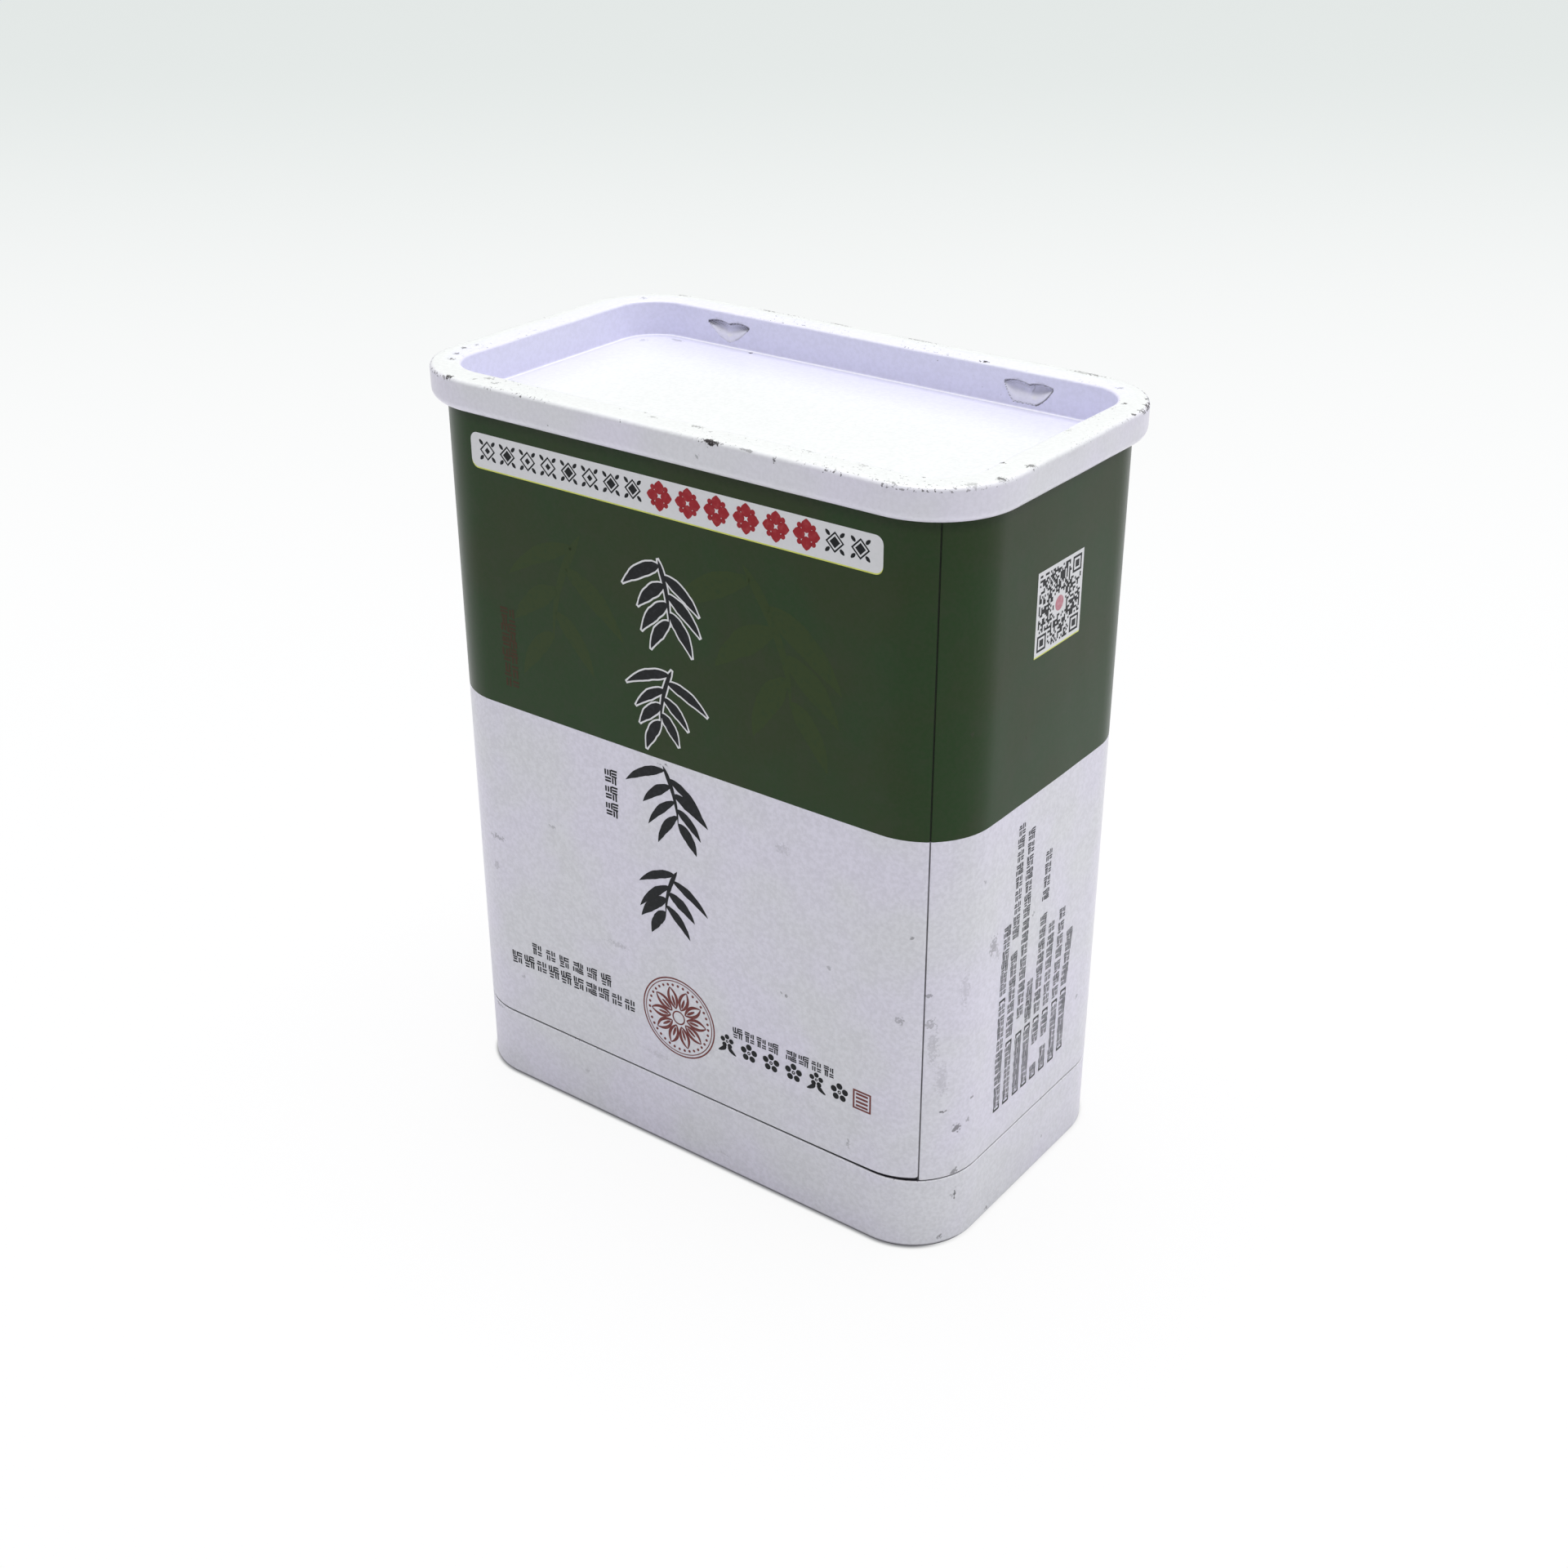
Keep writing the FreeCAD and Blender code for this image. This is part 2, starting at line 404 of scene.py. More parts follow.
@dataclass(frozen=True)
class Ink:
    """Printing ink, a little uneven, under the same clear varnish as the enamel."""

    name: str
    tint: Colour
    thin_tint: Colour
    gloss_level: float = 0.15
    gloss_roughness: float = 0.32

    def material(self) -> Material:
        """Build the ink as a material.

        Returns:
            The material.
        """
        material, graph = new_material(self.name)
        grain = graph.grain(graph.place(), Grain.INK, 3.0)
        shader = graph.node("ShaderNodeBsdfPrincipled", {}, {
            "Base Color": graph.blend(grain.rise(0.45, 0.75), self.tint, self.thin_tint),
            "Roughness": grain * 0.08 + (self.gloss_roughness - 0.04),
            "Specular IOR Level": self.gloss_level})
        graph.node("ShaderNodeOutputMaterial", {}, {"Surface": shader})
        return material


# ---- plan and stations ----
class Face(Enum):
    """The four upright faces, in the order in which the outline is walked."""

    FRONT = 0
    RIGHT = 1
    BACK = 2
    LEFT = 3

    @property
    def tag(self) -> str:
        """Start of the names of what is printed on the face."""
        return ("front", "side", "back", "left")[self.value]

    @property
    def normal(self) -> Vector:
        """Direction out of the face."""
        turn = self.value * pi / 2
        return Vector((sin(turn), -cos(turn), 0.0))

    @property
    def along(self) -> Vector:
        """Level direction to the right, for someone who looks at the face."""
        turn = self.value * pi / 2
        return Vector((cos(turn), sin(turn), 0.0))


@dataclass(frozen=True)
class Stations:
    """Places round the outline: face, share of the straight side and turn round the corner."""

    face: Array
    share: Array
    turn: Array

    @classmethod
    def laid_out(cls, straights: dict[Face, Sequence[float]],
                 corners: dict[Face, Sequence[float]]) -> "Stations":
        """Walk round the outline once.

        Args:
            straights: Shares from -1 to 1 along each face's straight side.
            corners: Turns between 0 and a quarter circle at the end of each face.

        Returns:
            The stations in order, none twice.
        """
        rows = []
        for face in Face:
            rows += [(face.value, share, 0.0) for share in straights[face]]
            rows += [(face.value, 1.0, turn) for turn in corners[face]]
        table = np.array(rows)
        return cls(table[:, 0].astype(int), table[:, 1], table[:, 2])


@dataclass(frozen=True)
class Plan:
    """The tin's rounded rectangular plan, in mm."""

    width: float
    depth: float
    corner: float

    def half(self, face: int) -> Pair:
        """Half extents along and out of a face."""
        return (self.width / 2, self.depth / 2) if face % 2 == 0 else (self.depth / 2, self.width / 2)

    def straight(self, face: int) -> float:
        """Half length of a face's straight side."""
        return self.half(face)[0] - self.corner

    def ring(self, stations: Stations, grow: float, corner: float, height: float) -> Array:
        """Points of a level ring.

        Args:
            stations: Places round the outline.
            grow: How far outside the body's face it runs.
            corner: Radius of its corners.
            height: Its height.

        Returns:
            One point for each station.
        """
        turn, share = stations.turn, stations.share
        points = np.zeros((len(turn), 3))
        for face in Face:
            mine = stations.face == face.value
            along, out = self.half(face.value)
            normal, tangent = np.array(face.normal), np.array(face.along)
            reach_out = out + grow - corner + corner * np.cos(turn)
            reach_on = share * (along + grow - corner) + corner * np.sin(turn)
            points += mine[:, None] * (np.outer(reach_out, normal) + np.outer(reach_on, tangent))
        points[:, 2] = height
        return points

    def outward(self, stations: Stations) -> Array:
        """Direction out of the outline at each station."""
        angle = stations.face * pi / 2 + stations.turn
        return np.stack([np.sin(angle), -np.cos(angle), np.zeros(len(angle))], axis=1)


@dataclass(frozen=True)
class Ring:
    """One level ring of a skin: its size and height in mm and what is painted on it, 0 to 1."""

    grow: float
    corner: float
    height: float
    # Wear is real; the rest is painted: shade with cracks, hollow shade, highlight, lit tops.
    wear: float = 0.0
    crease: float = 0.0
    hollow: float = 0.0
    shine: float = 0.0
    level: float = 0.0


def polar(middle: Pair, reach: float, angle: float) -> Pair:
    """Point at a distance and an angle in radians from a middle."""
    return middle[0] + reach * cos(angle), middle[1] + reach * sin(angle)


def arc(centre: Pair, radius: float, start: float, end: float, steps: int) -> list[Pair]:
    """Points of an arc in a profile, from one angle in degrees to another, both ends among them."""
    angles = np.radians(np.linspace(start, end, steps + 1))
    return [polar(centre, radius, angle) for angle in angles]


Shift = Callable[[Ring, Array], Array]
Paint = Callable[[Ring], Layers]


@dataclass
class Skin:
    """A closed skin of level rings, capped at both ends."""

    plan: Plan
    stations: Stations
    rings: list[Ring]
    shift: Shift
    paint: Paint

    def mesh(self, name: str) -> Mesh:
        """Build the skin.

        Args:
            name: The mesh's name.

        Returns:
            A closed mesh in metres, with its painted layers.
        """
        count = len(self.stations.turn)
        rows: list[Array] = []
        layers: dict[str, list[Array]] = {layer: [] for layer in LAYERS}
        for ring in self.rings:
            plain = self.plan.ring(self.stations, ring.grow, ring.corner, ring.height)
            rows.append(self.shift(ring, plain))
            extra = self.paint(ring)
            for layer, values in layers.items():
                values.append(np.maximum(np.full(count, getattr(ring, layer)),
                                         extra.get(layer, 0.0)))
        points = np.concatenate(rows) * MM
        across = np.arange(count)
        after = (across + 1) % count
        faces: list[Sequence[int]] = []
        for row in range(len(self.rings) - 1):
            low, high = row * count, (row + 1) * count
            faces += np.stack([low + across, low + after, high + after, high + across],
                              axis=1).tolist()
        faces.append(across[::-1].tolist())
        faces.append(((len(self.rings) - 1) * count + across).tolist())
        mesh = bpy.data.meshes.new(name)
        mesh.from_pydata(points.tolist(), [], faces)
        for layer, values in layers.items():
            painted = mesh.attributes.new(layer, "FLOAT", "POINT")
            painted.data.foreach_set("value", np.concatenate(values).astype(np.float32))
        mesh.shade_smooth()
        mesh.set_sharp_from_angle(angle=SHARP_TURN)
        return mesh


def ripple(place: Array, seed: int, longest: float) -> Array:
    """Smooth seeded waviness along a line.

    Args:
        place: Distance along the line in mm.
        seed: Which waviness.
        longest: Longest wave in mm.

    Returns:
        Heights of about -1 to 1.
    """
    random = np.random.default_rng(seed)
    total = np.zeros(np.shape(place))
    for step in range(RIPPLE_WAVES):
        length = longest / (1 + step * 0.7)
        total = total + np.sin(place / length * tau + random.uniform(0, tau)) / (1 + step)
    return total / 2


def place_piece(name: str, mesh: Mesh, node: str = "") -> Object:
    """Put a finished mesh in the scene and tie it to the frame.

    Args:
        name: The piece's name.
        mesh: Its mesh, in place.
        node: The node that it stands for, if any.

    Returns:
        The piece.
    """
    piece = bpy.data.objects.new(name, mesh)
    bpy.context.scene.collection.objects.link(piece)
    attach(piece, "root")
    if node:
        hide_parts(node)
    LOG.info("%s: %d faces", name, len(mesh.polygons))
    return piece


# ---- sizes ----
@dataclass(frozen=True)
class TinSizes:
    """The tin's sizes in mm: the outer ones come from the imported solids."""

    width: float
    depth: float
    height: float
    lid_height: float
    overhang: float
    rim_height: float = 5.0
    corner: float = 10.9
    sheet: float = 0.3
    gap: float = 0.25
    shoulder_radius: float = 0.15
    clearance: float = 0.1
    crown_radius: float = 0.45
    recess_inset: float = 2.85
    recess_depth: float = 5.5
    recess_corner: float = 6.8
    mouth_radius: float = 0.38
    floor_radius: float = 0.16
    curl_radius: float = 1.6
    edge_radius: float = 0.6

    @classmethod
    def from_frame(cls) -> "TinSizes":
        """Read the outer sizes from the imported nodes.

        Returns:
            The sizes.
        """
        lid_low, lid_high = [np.array(c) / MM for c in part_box("lid")]
        base_high = np.array(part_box("base")[1]) / MM
        width, depth, lid_height = lid_high - lid_low
        return cls(width=width, depth=depth, height=base_high[2], lid_height=lid_height,
                   overhang=base_high[0] - lid_high[0])

    @property
    def plan(self) -> Plan:
        """Plan of the body's face."""
        return Plan(self.width, self.depth, self.corner)

    @property
    def rim_bottom(self) -> float:
        """Height of the curled skirt's lower edge."""
        return self.height - self.rim_height

    @property
    def shoulder(self) -> float:
        """Height of the panels' lower edge."""
        return self.lid_height + self.gap


# ---- body ----
@dataclass
class TinBody:
    """The printed body: neck in the lid, bowed panels with the lock seam, and the upstand."""

    sizes: TinSizes
    colour_line: float = 69.3
    bow: float = 0.10
    waviness: float = 0.025
    seam_turn: float = 38.0
    seam_half: float = 0.09
    seam_depth: float = 0.25
    seam_roll: float = 0.09
    seam_lift: float = 0.40
    seam_corner: float = 0.5
    sunk: float = 0.07
    seam_reach: float = 3.0
    lift_run: float = 9.0
    lift_fade: float = 4.0
    end_corner: float = 0.25
    dent: float = 0.035
    dent_place: float = 0.5
    dent_width: float = 0.35
    shaded: Pair = (112.6, 115.2)
    neck_turn: float = 6.0
    upstand: float = -1.5
    floor_turn: float = 5.0
    cell: float = 1.3
    places: Stations = field(init=False)

    def seam_distance(self, stations: Stations) -> Array:
        """Measure how far each station lies from the lock seam.

        Args:
            stations: Places round the outline.

        Returns:
            Signed distances in mm, a large one on the other three faces.
        """
        far_off = 99.0
        away = (stations.turn - radians(self.seam_turn)) * self.sizes.corner
        on_front = (stations.face == Face.FRONT.value) & (stations.turn == 0)
        left = self.sizes.plan.straight(Face.FRONT.value) * (1 - stations.share)
        away = np.where(on_front, away - left, away)
        return np.where(stations.face == Face.FRONT.value, away, far_off)

    def stations(self) -> Stations:
        """Lay out the places round the body, close together at the lock seam.

        Returns:
            The stations.
        """
        plan = self.sizes.plan
        straights, corners = {}, {}
        for face in Face:
            count = round(2 * plan.straight(face.value) / self.cell)
            straights[face] = np.linspace(-1, 1, count + 1)
            corners[face] = np.radians(np.linspace(0, 90, 17)[1:-1])
        half, roll, spared = self.seam_half, self.seam_roll, 1.4
        steps = [half * 0.98, half]
        steps += [half + roll * (1 - cos(a)) for a in np.linspace(0.35, pi / 2, 4)]
        steps += [half + roll + extra for extra in (0.08, 0.2, 0.35, 0.55, 0.8, 1.2)]
        near = sorted([-s for s in steps] + steps)
        seam = radians(self.seam_turn) + np.array(near) / plan.corner
        far = [t for t in corners[Face.FRONT]
               if abs(t - radians(self.seam_turn)) * plan.corner > spared]
        corners[Face.FRONT] = sorted([*far, *seam])
        return Stations.laid_out(straights, corners)

    def relief(self, face: Any, share: Any, height: Any) -> Array:
        """How far the skin stands out of its plan.

        Args:
            face: Number of the face.
            share: Share along its straight side, -1 to 1.
            height: Height in mm.

        Returns:
            The relief in mm, nothing at the corners and at the panel's ends.
        """
        low, high = self.sizes.shoulder, self.sizes.rim_bottom
        face, share, height = [np.asarray(values, float) for values in (face, share, height)]
        up = np.clip((height - low) / (high - low), 0, 1)
        wide = 1 - share ** 2
        window = np.minimum(wide * 3, 1) * np.sin(pi * up) ** 0.5
        place = share * 40 + face * 137
        waves = ripple(place + height * 0.6, 3, 61.0) + ripple(height - place * 0.3, 5, 47.0)
        return self.bow * wide * np.sin(pi * up) + self.waviness * window * waves

    def wrap(self, face: Face, flat: Array) -> Array:
        """Lay flat artwork on a face.

        Args:
            face: The face.
            flat: Across, height and lift of each point, in mm.

        Returns:
            Points in metres on the body's skin.
        """
        plan = self.sizes.plan
        share = flat[:, 0] / plan.straight(face.value)
        out = plan.half(face.value)[1] + self.relief(face.value, share, flat[:, 1]) + flat[:, 2]
        points = np.outer(out, np.array(face.normal)) + np.outer(flat[:, 0], np.array(face.along))
        points[:, 2] = flat[:, 1]
        return points * MM

    def profile(self) -> list[Ring]:
        """Draw the body's section, from the foot of the neck up and over into the upstand.

        Returns:
            The body's rings in that order.
        """
        s = self.sizes
        neck = -s.sheet - s.clearance
        turned = s.crown_radius - s.sheet
        within = neck - self.neck_turn
        rings = [Ring(within, s.corner + within, s.sheet)]
        rings += [Ring(neck - turned + out, s.corner + neck - turned + out, up)
                  for out, up in arc((0.0, s.sheet + turned), turned, -90, 0, 3)]
        low, soft = s.shoulder, s.shoulder_radius
        # Painted shade on the neck in the gap under the panels, and at the shoulder's foot.
        rings += [Ring(neck, s.corner + neck, up, crease=1.0) for up in (low - 2, low)]
        rings += [Ring(out, s.corner + out, up, crease=0.8 if up < low + soft * 0.2 else 0.0)
                  for out, up in arc((-soft, low + soft), soft, -90, 0, 4)]
        rings += [Ring(0, s.corner, low + soft + extra) for extra in (0.1, 0.4, 1.0)]
        # Painted shadow on the panel under the rim's overhang.
        for start, end in ((low + 2, self.colour_line), (self.colour_line, s.rim_bottom + 0.6)):
            count = round((end - start) / self.cell)
            rings += [Ring(0, s.corner, up, crease=0.55 * float(ease(up, *self.shaded)))
                      for up in np.linspace(start, end, count + 1)
                      if up > rings[-1].height + TINY]
        top = s.height - s.sheet
        floor = s.height - s.recess_depth - s.sheet - 0.05
        flange, inner = s.overhang - s.edge_radius, self.upstand
        ways = [(0, top - s.sheet), (flange, top - s.sheet), (flange, top), (inner, top),
                (inner, floor), (inner - self.floor_turn, floor)]
        return rings + [Ring(out, s.corner + out, up) for out, up in ways]

    def paint(self, ring: Ring) -> Layers:
        """Paint shade into the lock seam's open line, a little uneven up its length.

        Args:
            ring: The ring that is being painted.

        Returns:
            The painted layer crease, one value for each station.
        """
        away = np.abs(self.seam_distance(self.places))
        uneven = 0.74 + 0.12 * float(ripple(np.array(ring.height), 41, 9.0))
        return {"crease": np.where(away < self.seam_half + 0.02, uneven, 0.0)}

    def shift(self, ring: Ring, points: Array) -> Array:
        """Bow the panels, fold in the lock seam and lift the panel's end beside it.

        Args:
            ring: The ring that is being laid.
            points: Its plain points.

        Returns:
            The points where the pressed metal runs.
        """
        places = self.places
        away = self.seam_distance(places)
        s = self.sizes
        above = ring.height - s.shoulder
        fade = np.clip(1 - above / self.lift_fade, 0, 1) * (ring.height > s.shoulder - 1)
        beside = np.clip(away + self.seam_half + self.seam_corner, 0, self.seam_corner)
        rounded = self.seam_corner - np.sqrt(self.seam_corner ** 2 - beside ** 2 + 1e-9)
        left = away < -self.seam_half
        raised = self.seam_lift * np.exp(np.minimum(away, 0) / self.lift_run) + rounded * 0.7
        lift = np.where(left, raised, 0.0)
        right, end = (away > self.seam_half) & (away < self.seam_reach), self.end_corner
        beyond = np.clip(self.seam_half + end - away, 0, end)
        lift = lift + np.where(right, end - np.sqrt(end ** 2 - beyond ** 2), 0.0)
        lift = lift - self.sunk * np.select(
            [places.face == Face.LEFT.value, away < 0], [(1 - places.share) / 2, 0.0], 1.0)
        points[:, 2] += lift * fade
        if 0 <= ring.grow < 0.01 and ring.height < s.height - 1:
            outward = s.plan.outward(places)
            out = self.relief(places.face, places.share, ring.height) * (places.turn == 0)
            away = np.abs(away)
            edge = np.clip((away - self.seam_half) / self.seam_roll, 0, 1)
            fold = np.where(away < self.seam_half * 0.99, self.seam_depth,
                            self.seam_roll * (1 - np.sqrt(1 - (1 - edge) ** 2)))
            fold = fold - self.dent * bell(away, self.dent_place, self.dent_width)
            points += outward * (out - np.where(away < self.seam_reach, fold, 0))[:, None]
        return points

    def build(self, green: Material, white: Material) -> Object:
        """Make the body in its two enamels.

        Args:
            green: Enamel above the colour line.
            white: Enamel below it.

        Returns:
            The piece that stands for the body's node.
        """
        self.places = self.stations()
        skin = Skin(self.sizes.plan, self.places, self.profile(), self.shift, self.paint)
        mesh = skin.mesh("tin_body")
        mesh.materials.append(white)
        mesh.materials.append(green)
        line = (self.colour_line + 0.01) * MM
        index = [int(min(mesh.vertices[v].co.z for v in p.vertices) > line - 0.0001)
                 for p in mesh.polygons]
        mesh.polygons.foreach_set("material_index", index)
        return place_piece("tin_body", mesh, "body")


# ---- lid ----
@dataclass
class SlipLid:
    """The drawn lid on which the tin stands: a folded section swept round the filleted plan."""

    sizes: TinSizes
    lip: float = 0.16
    # Heights over which the painted shade at the foot's edge fades out.
    foot: Pair = (0.28, 0.60)
    reach: float = 9.0
    cell: float = 0.9
    turns: int = 12
    # Strength of the painted highlight on the rolled lip.
    lip_shine: float = 0.9
    lit_band: Pair = (0.8, 0.1)
    lit_share: float = 0.85

    def values(self, white: Material) -> dict[str, Any]:
        """List what the tree is given, its lengths in metres.

        Args:
            white: The lid's enamel.

        Returns:
            A value for each of the tree's named inputs.
        """
        s = self.sizes
        lengths = {"Width": s.width, "Depth": s.depth, "Height": s.lid_height, "Corner": s.corner,
                   "Crown": s.crown_radius, "Lip": self.lip, "Sheet": s.sheet,
                   "Reach": self.reach, "Cell": self.cell, "Foot Low": self.foot[0],
                   "Foot High": self.foot[1], "Lit From": self.lit_band[0],
                   "Lit To": self.lit_band[1]}
        return {name: float(length * MM) for name, length in lengths.items()} | {"Enamel": white}

    def tree(self, names: Iterable[str]) -> NodeTree:
        """Build the tree: plan, section, sweep, caps, painted layers, material.

        Args:
            names: The names of its inputs.

        Returns:
            The tree.
        """
        kinds = {name: "Material" if name == "Enamel" else "Float" for name in names}
        graph = new_tree("drawn_lid", kinds)
        outline = graph.node("GeometryNodeCurvePrimitiveQuadrilateral", {"mode": "RECTANGLE"},
                             {"Width": graph["Width"], "Height": graph["Depth"]})
        outline = graph.node("GeometryNodeFilletCurve", {"mode": "POLY"}, {
            "Curve": outline, "Count": 4 * self.turns, "Radius": graph["Corner"]})
        outline = graph.node("GeometryNodeResampleCurve", {"mode": "LENGTH"},
                             {"Curve": outline, "Length": graph["Cell"]})
        outline = graph.node("GeometryNodeSetCurveNormal", {"mode": "Z_UP"}, {"Curve": outline})
        swept = graph.node("GeometryNodeCurveToMesh", {},
                           {"Curve": outline, "Profile Curve": self.section(graph)})
        shell = self.lit_foot(graph, self.capped(graph, swept))
        return end_tree(graph, shell, graph["Enamel"])

    @staticmethod
    def stored(graph: Graph, shape: Wire, layer: str, value: Wire) -> Wire:
        """Keep a value on the points as a painted layer."""
        return graph.node("GeometryNodeStoreNamedAttribute", {"data_type": "FLOAT", "domain": "POINT"},
                          {"Geometry": shape, "Name": layer, "Value": value})

    def section(self, graph: Graph) -> Wire:
        """Draw the lid's section: out along the plate, up the wall, over the lip, down and back in.

        Args:
            graph: The tree's graph.

        Returns:
            The section as a curve, out along X and up along -Y, with its painted layers.
        """
        inner, top, sheet = graph["Sheet"] * -1, graph["Height"], graph["Sheet"]
        crown, lip = graph["Crown"], graph["Lip"]
        bends = [(graph["Reach"] * -1, sheet, 0.0), (inner, sheet, crown - sheet),
                 (inner, top, sheet - lip), (0.0, top, lip), (0.0, graph["Foot High"] * 1.1, 0.0),
                 (0.0, 0.0, crown), (graph["Reach"] * -1, 0.0, 0.0)]
        number = graph.node("GeometryNodeInputIndex")
        out, up, radius = [sum(graph.sum("COMPARE", number, float(step)) * bend[part]
                               for step, bend in enumerate(bends)) for part in range(3)]
        line = graph.node("GeometryNodeMeshLine", {}, {"Count": len(bends)})
        line = graph.node("GeometryNodeMeshToCurve", {}, {"Mesh": line})
        corner = graph.node("ShaderNodeCombineXYZ", {}, {"X": out, "Y": up * -1})
        line = graph.node("GeometryNodeSetPosition", {}, {"Geometry": line, "Position": corner})
        line = graph.node("GeometryNodeFilletCurve", {"mode": "POLY"},
                          {"Curve": line, "Count": self.turns, "Radius": radius})
        place = graph.split(graph.node("GeometryNodeInputPosition"))
        height = place["Y"] * -1
        # Painted shade on the inside wall and at the foot; wear and a painted highlight on the lip.
        inside = graph.sum("LESS_THAN", place["X"], inner * 0.6)
        inside = inside * graph.sum("GREATER_THAN", height, crown)
        rolled = graph.sum("GREATER_THAN", height, top - lip * 0.98) * self.lip_shine
        dark = 1 - height.rise(graph["Foot Low"], graph["Foot High"])
        for layer, value in (("wear", rolled), ("shine", rolled), ("crease", inside), ("foot", dark)):
            line = self.stored(graph, line, layer, value)
        return line

    @staticmethod
    def capped(graph: Graph, swept: Wire) -> Wire:
        """Close the two open edges of the swept sheet with fans to its middle.

        Args:
            graph: The tree's graph.
            swept: The sheet.

        Returns:
            The closed shell.
        """
        around = graph.node("GeometryNodeInputMeshEdgeNeighbors")
        edges = graph.sum("LESS_THAN", around, 1.5)
        drawn = graph.node("GeometryNodeExtrudeMesh", {"mode": "EDGES"},
                           {"Mesh": swept, "Selection": edges, "Offset Scale": 0.0})
        middle = graph.node("ShaderNodeVectorMath", {"operation": "MULTIPLY"},
                            {0: graph.node("GeometryNodeInputPosition"), 1: (0.0, 0.0, 1.0)})
        closed = graph.node("GeometryNodeSetPosition", {},
                            {"Geometry": drawn, "Selection": drawn.other("Top"), "Position": middle})
        return graph.node("GeometryNodeMergeByDistance", {}, {"Geometry": closed, "Distance": TINY})

    def lit_foot(self, graph: Graph, shell: Wire) -> Wire:
        """Paint shade at the foot's edge by the floor, weaker on the side that faces the light.

        Args:
            graph: The tree's graph.
            shell: The closed shell.

        Returns:
            The shell with its layer of painted shade finished.
        """
        foot, crease = [graph.node("GeometryNodeInputNamedAttribute", {"data_type": "FLOAT"},
                                   {"Name": layer}) for layer in ("foot", "crease")]
        across = graph.split(graph.node("GeometryNodeInputPosition"))["X"]
        side = graph["Width"] * 0.5
        lit = across.rise(side - graph["Lit From"], side - graph["Lit To"])
        return self.stored(graph, shell, "crease",
                           crease.either(foot * (1 - lit * self.lit_share)))

    def build(self, white: Material) -> Object:
        """Make the lid in white enamel.

        Args:
            white: The lid's enamel.

        Returns:
            The piece that stands for the lid's node.
        """
        values = self.values(white)
        mesh = grown(self.tree(values), values, "tin_lid")
        mesh.shade_smooth()
        mesh.set_sharp_from_angle(angle=SHARP_TURN)
        return place_piece("tin_lid", mesh, "lid")


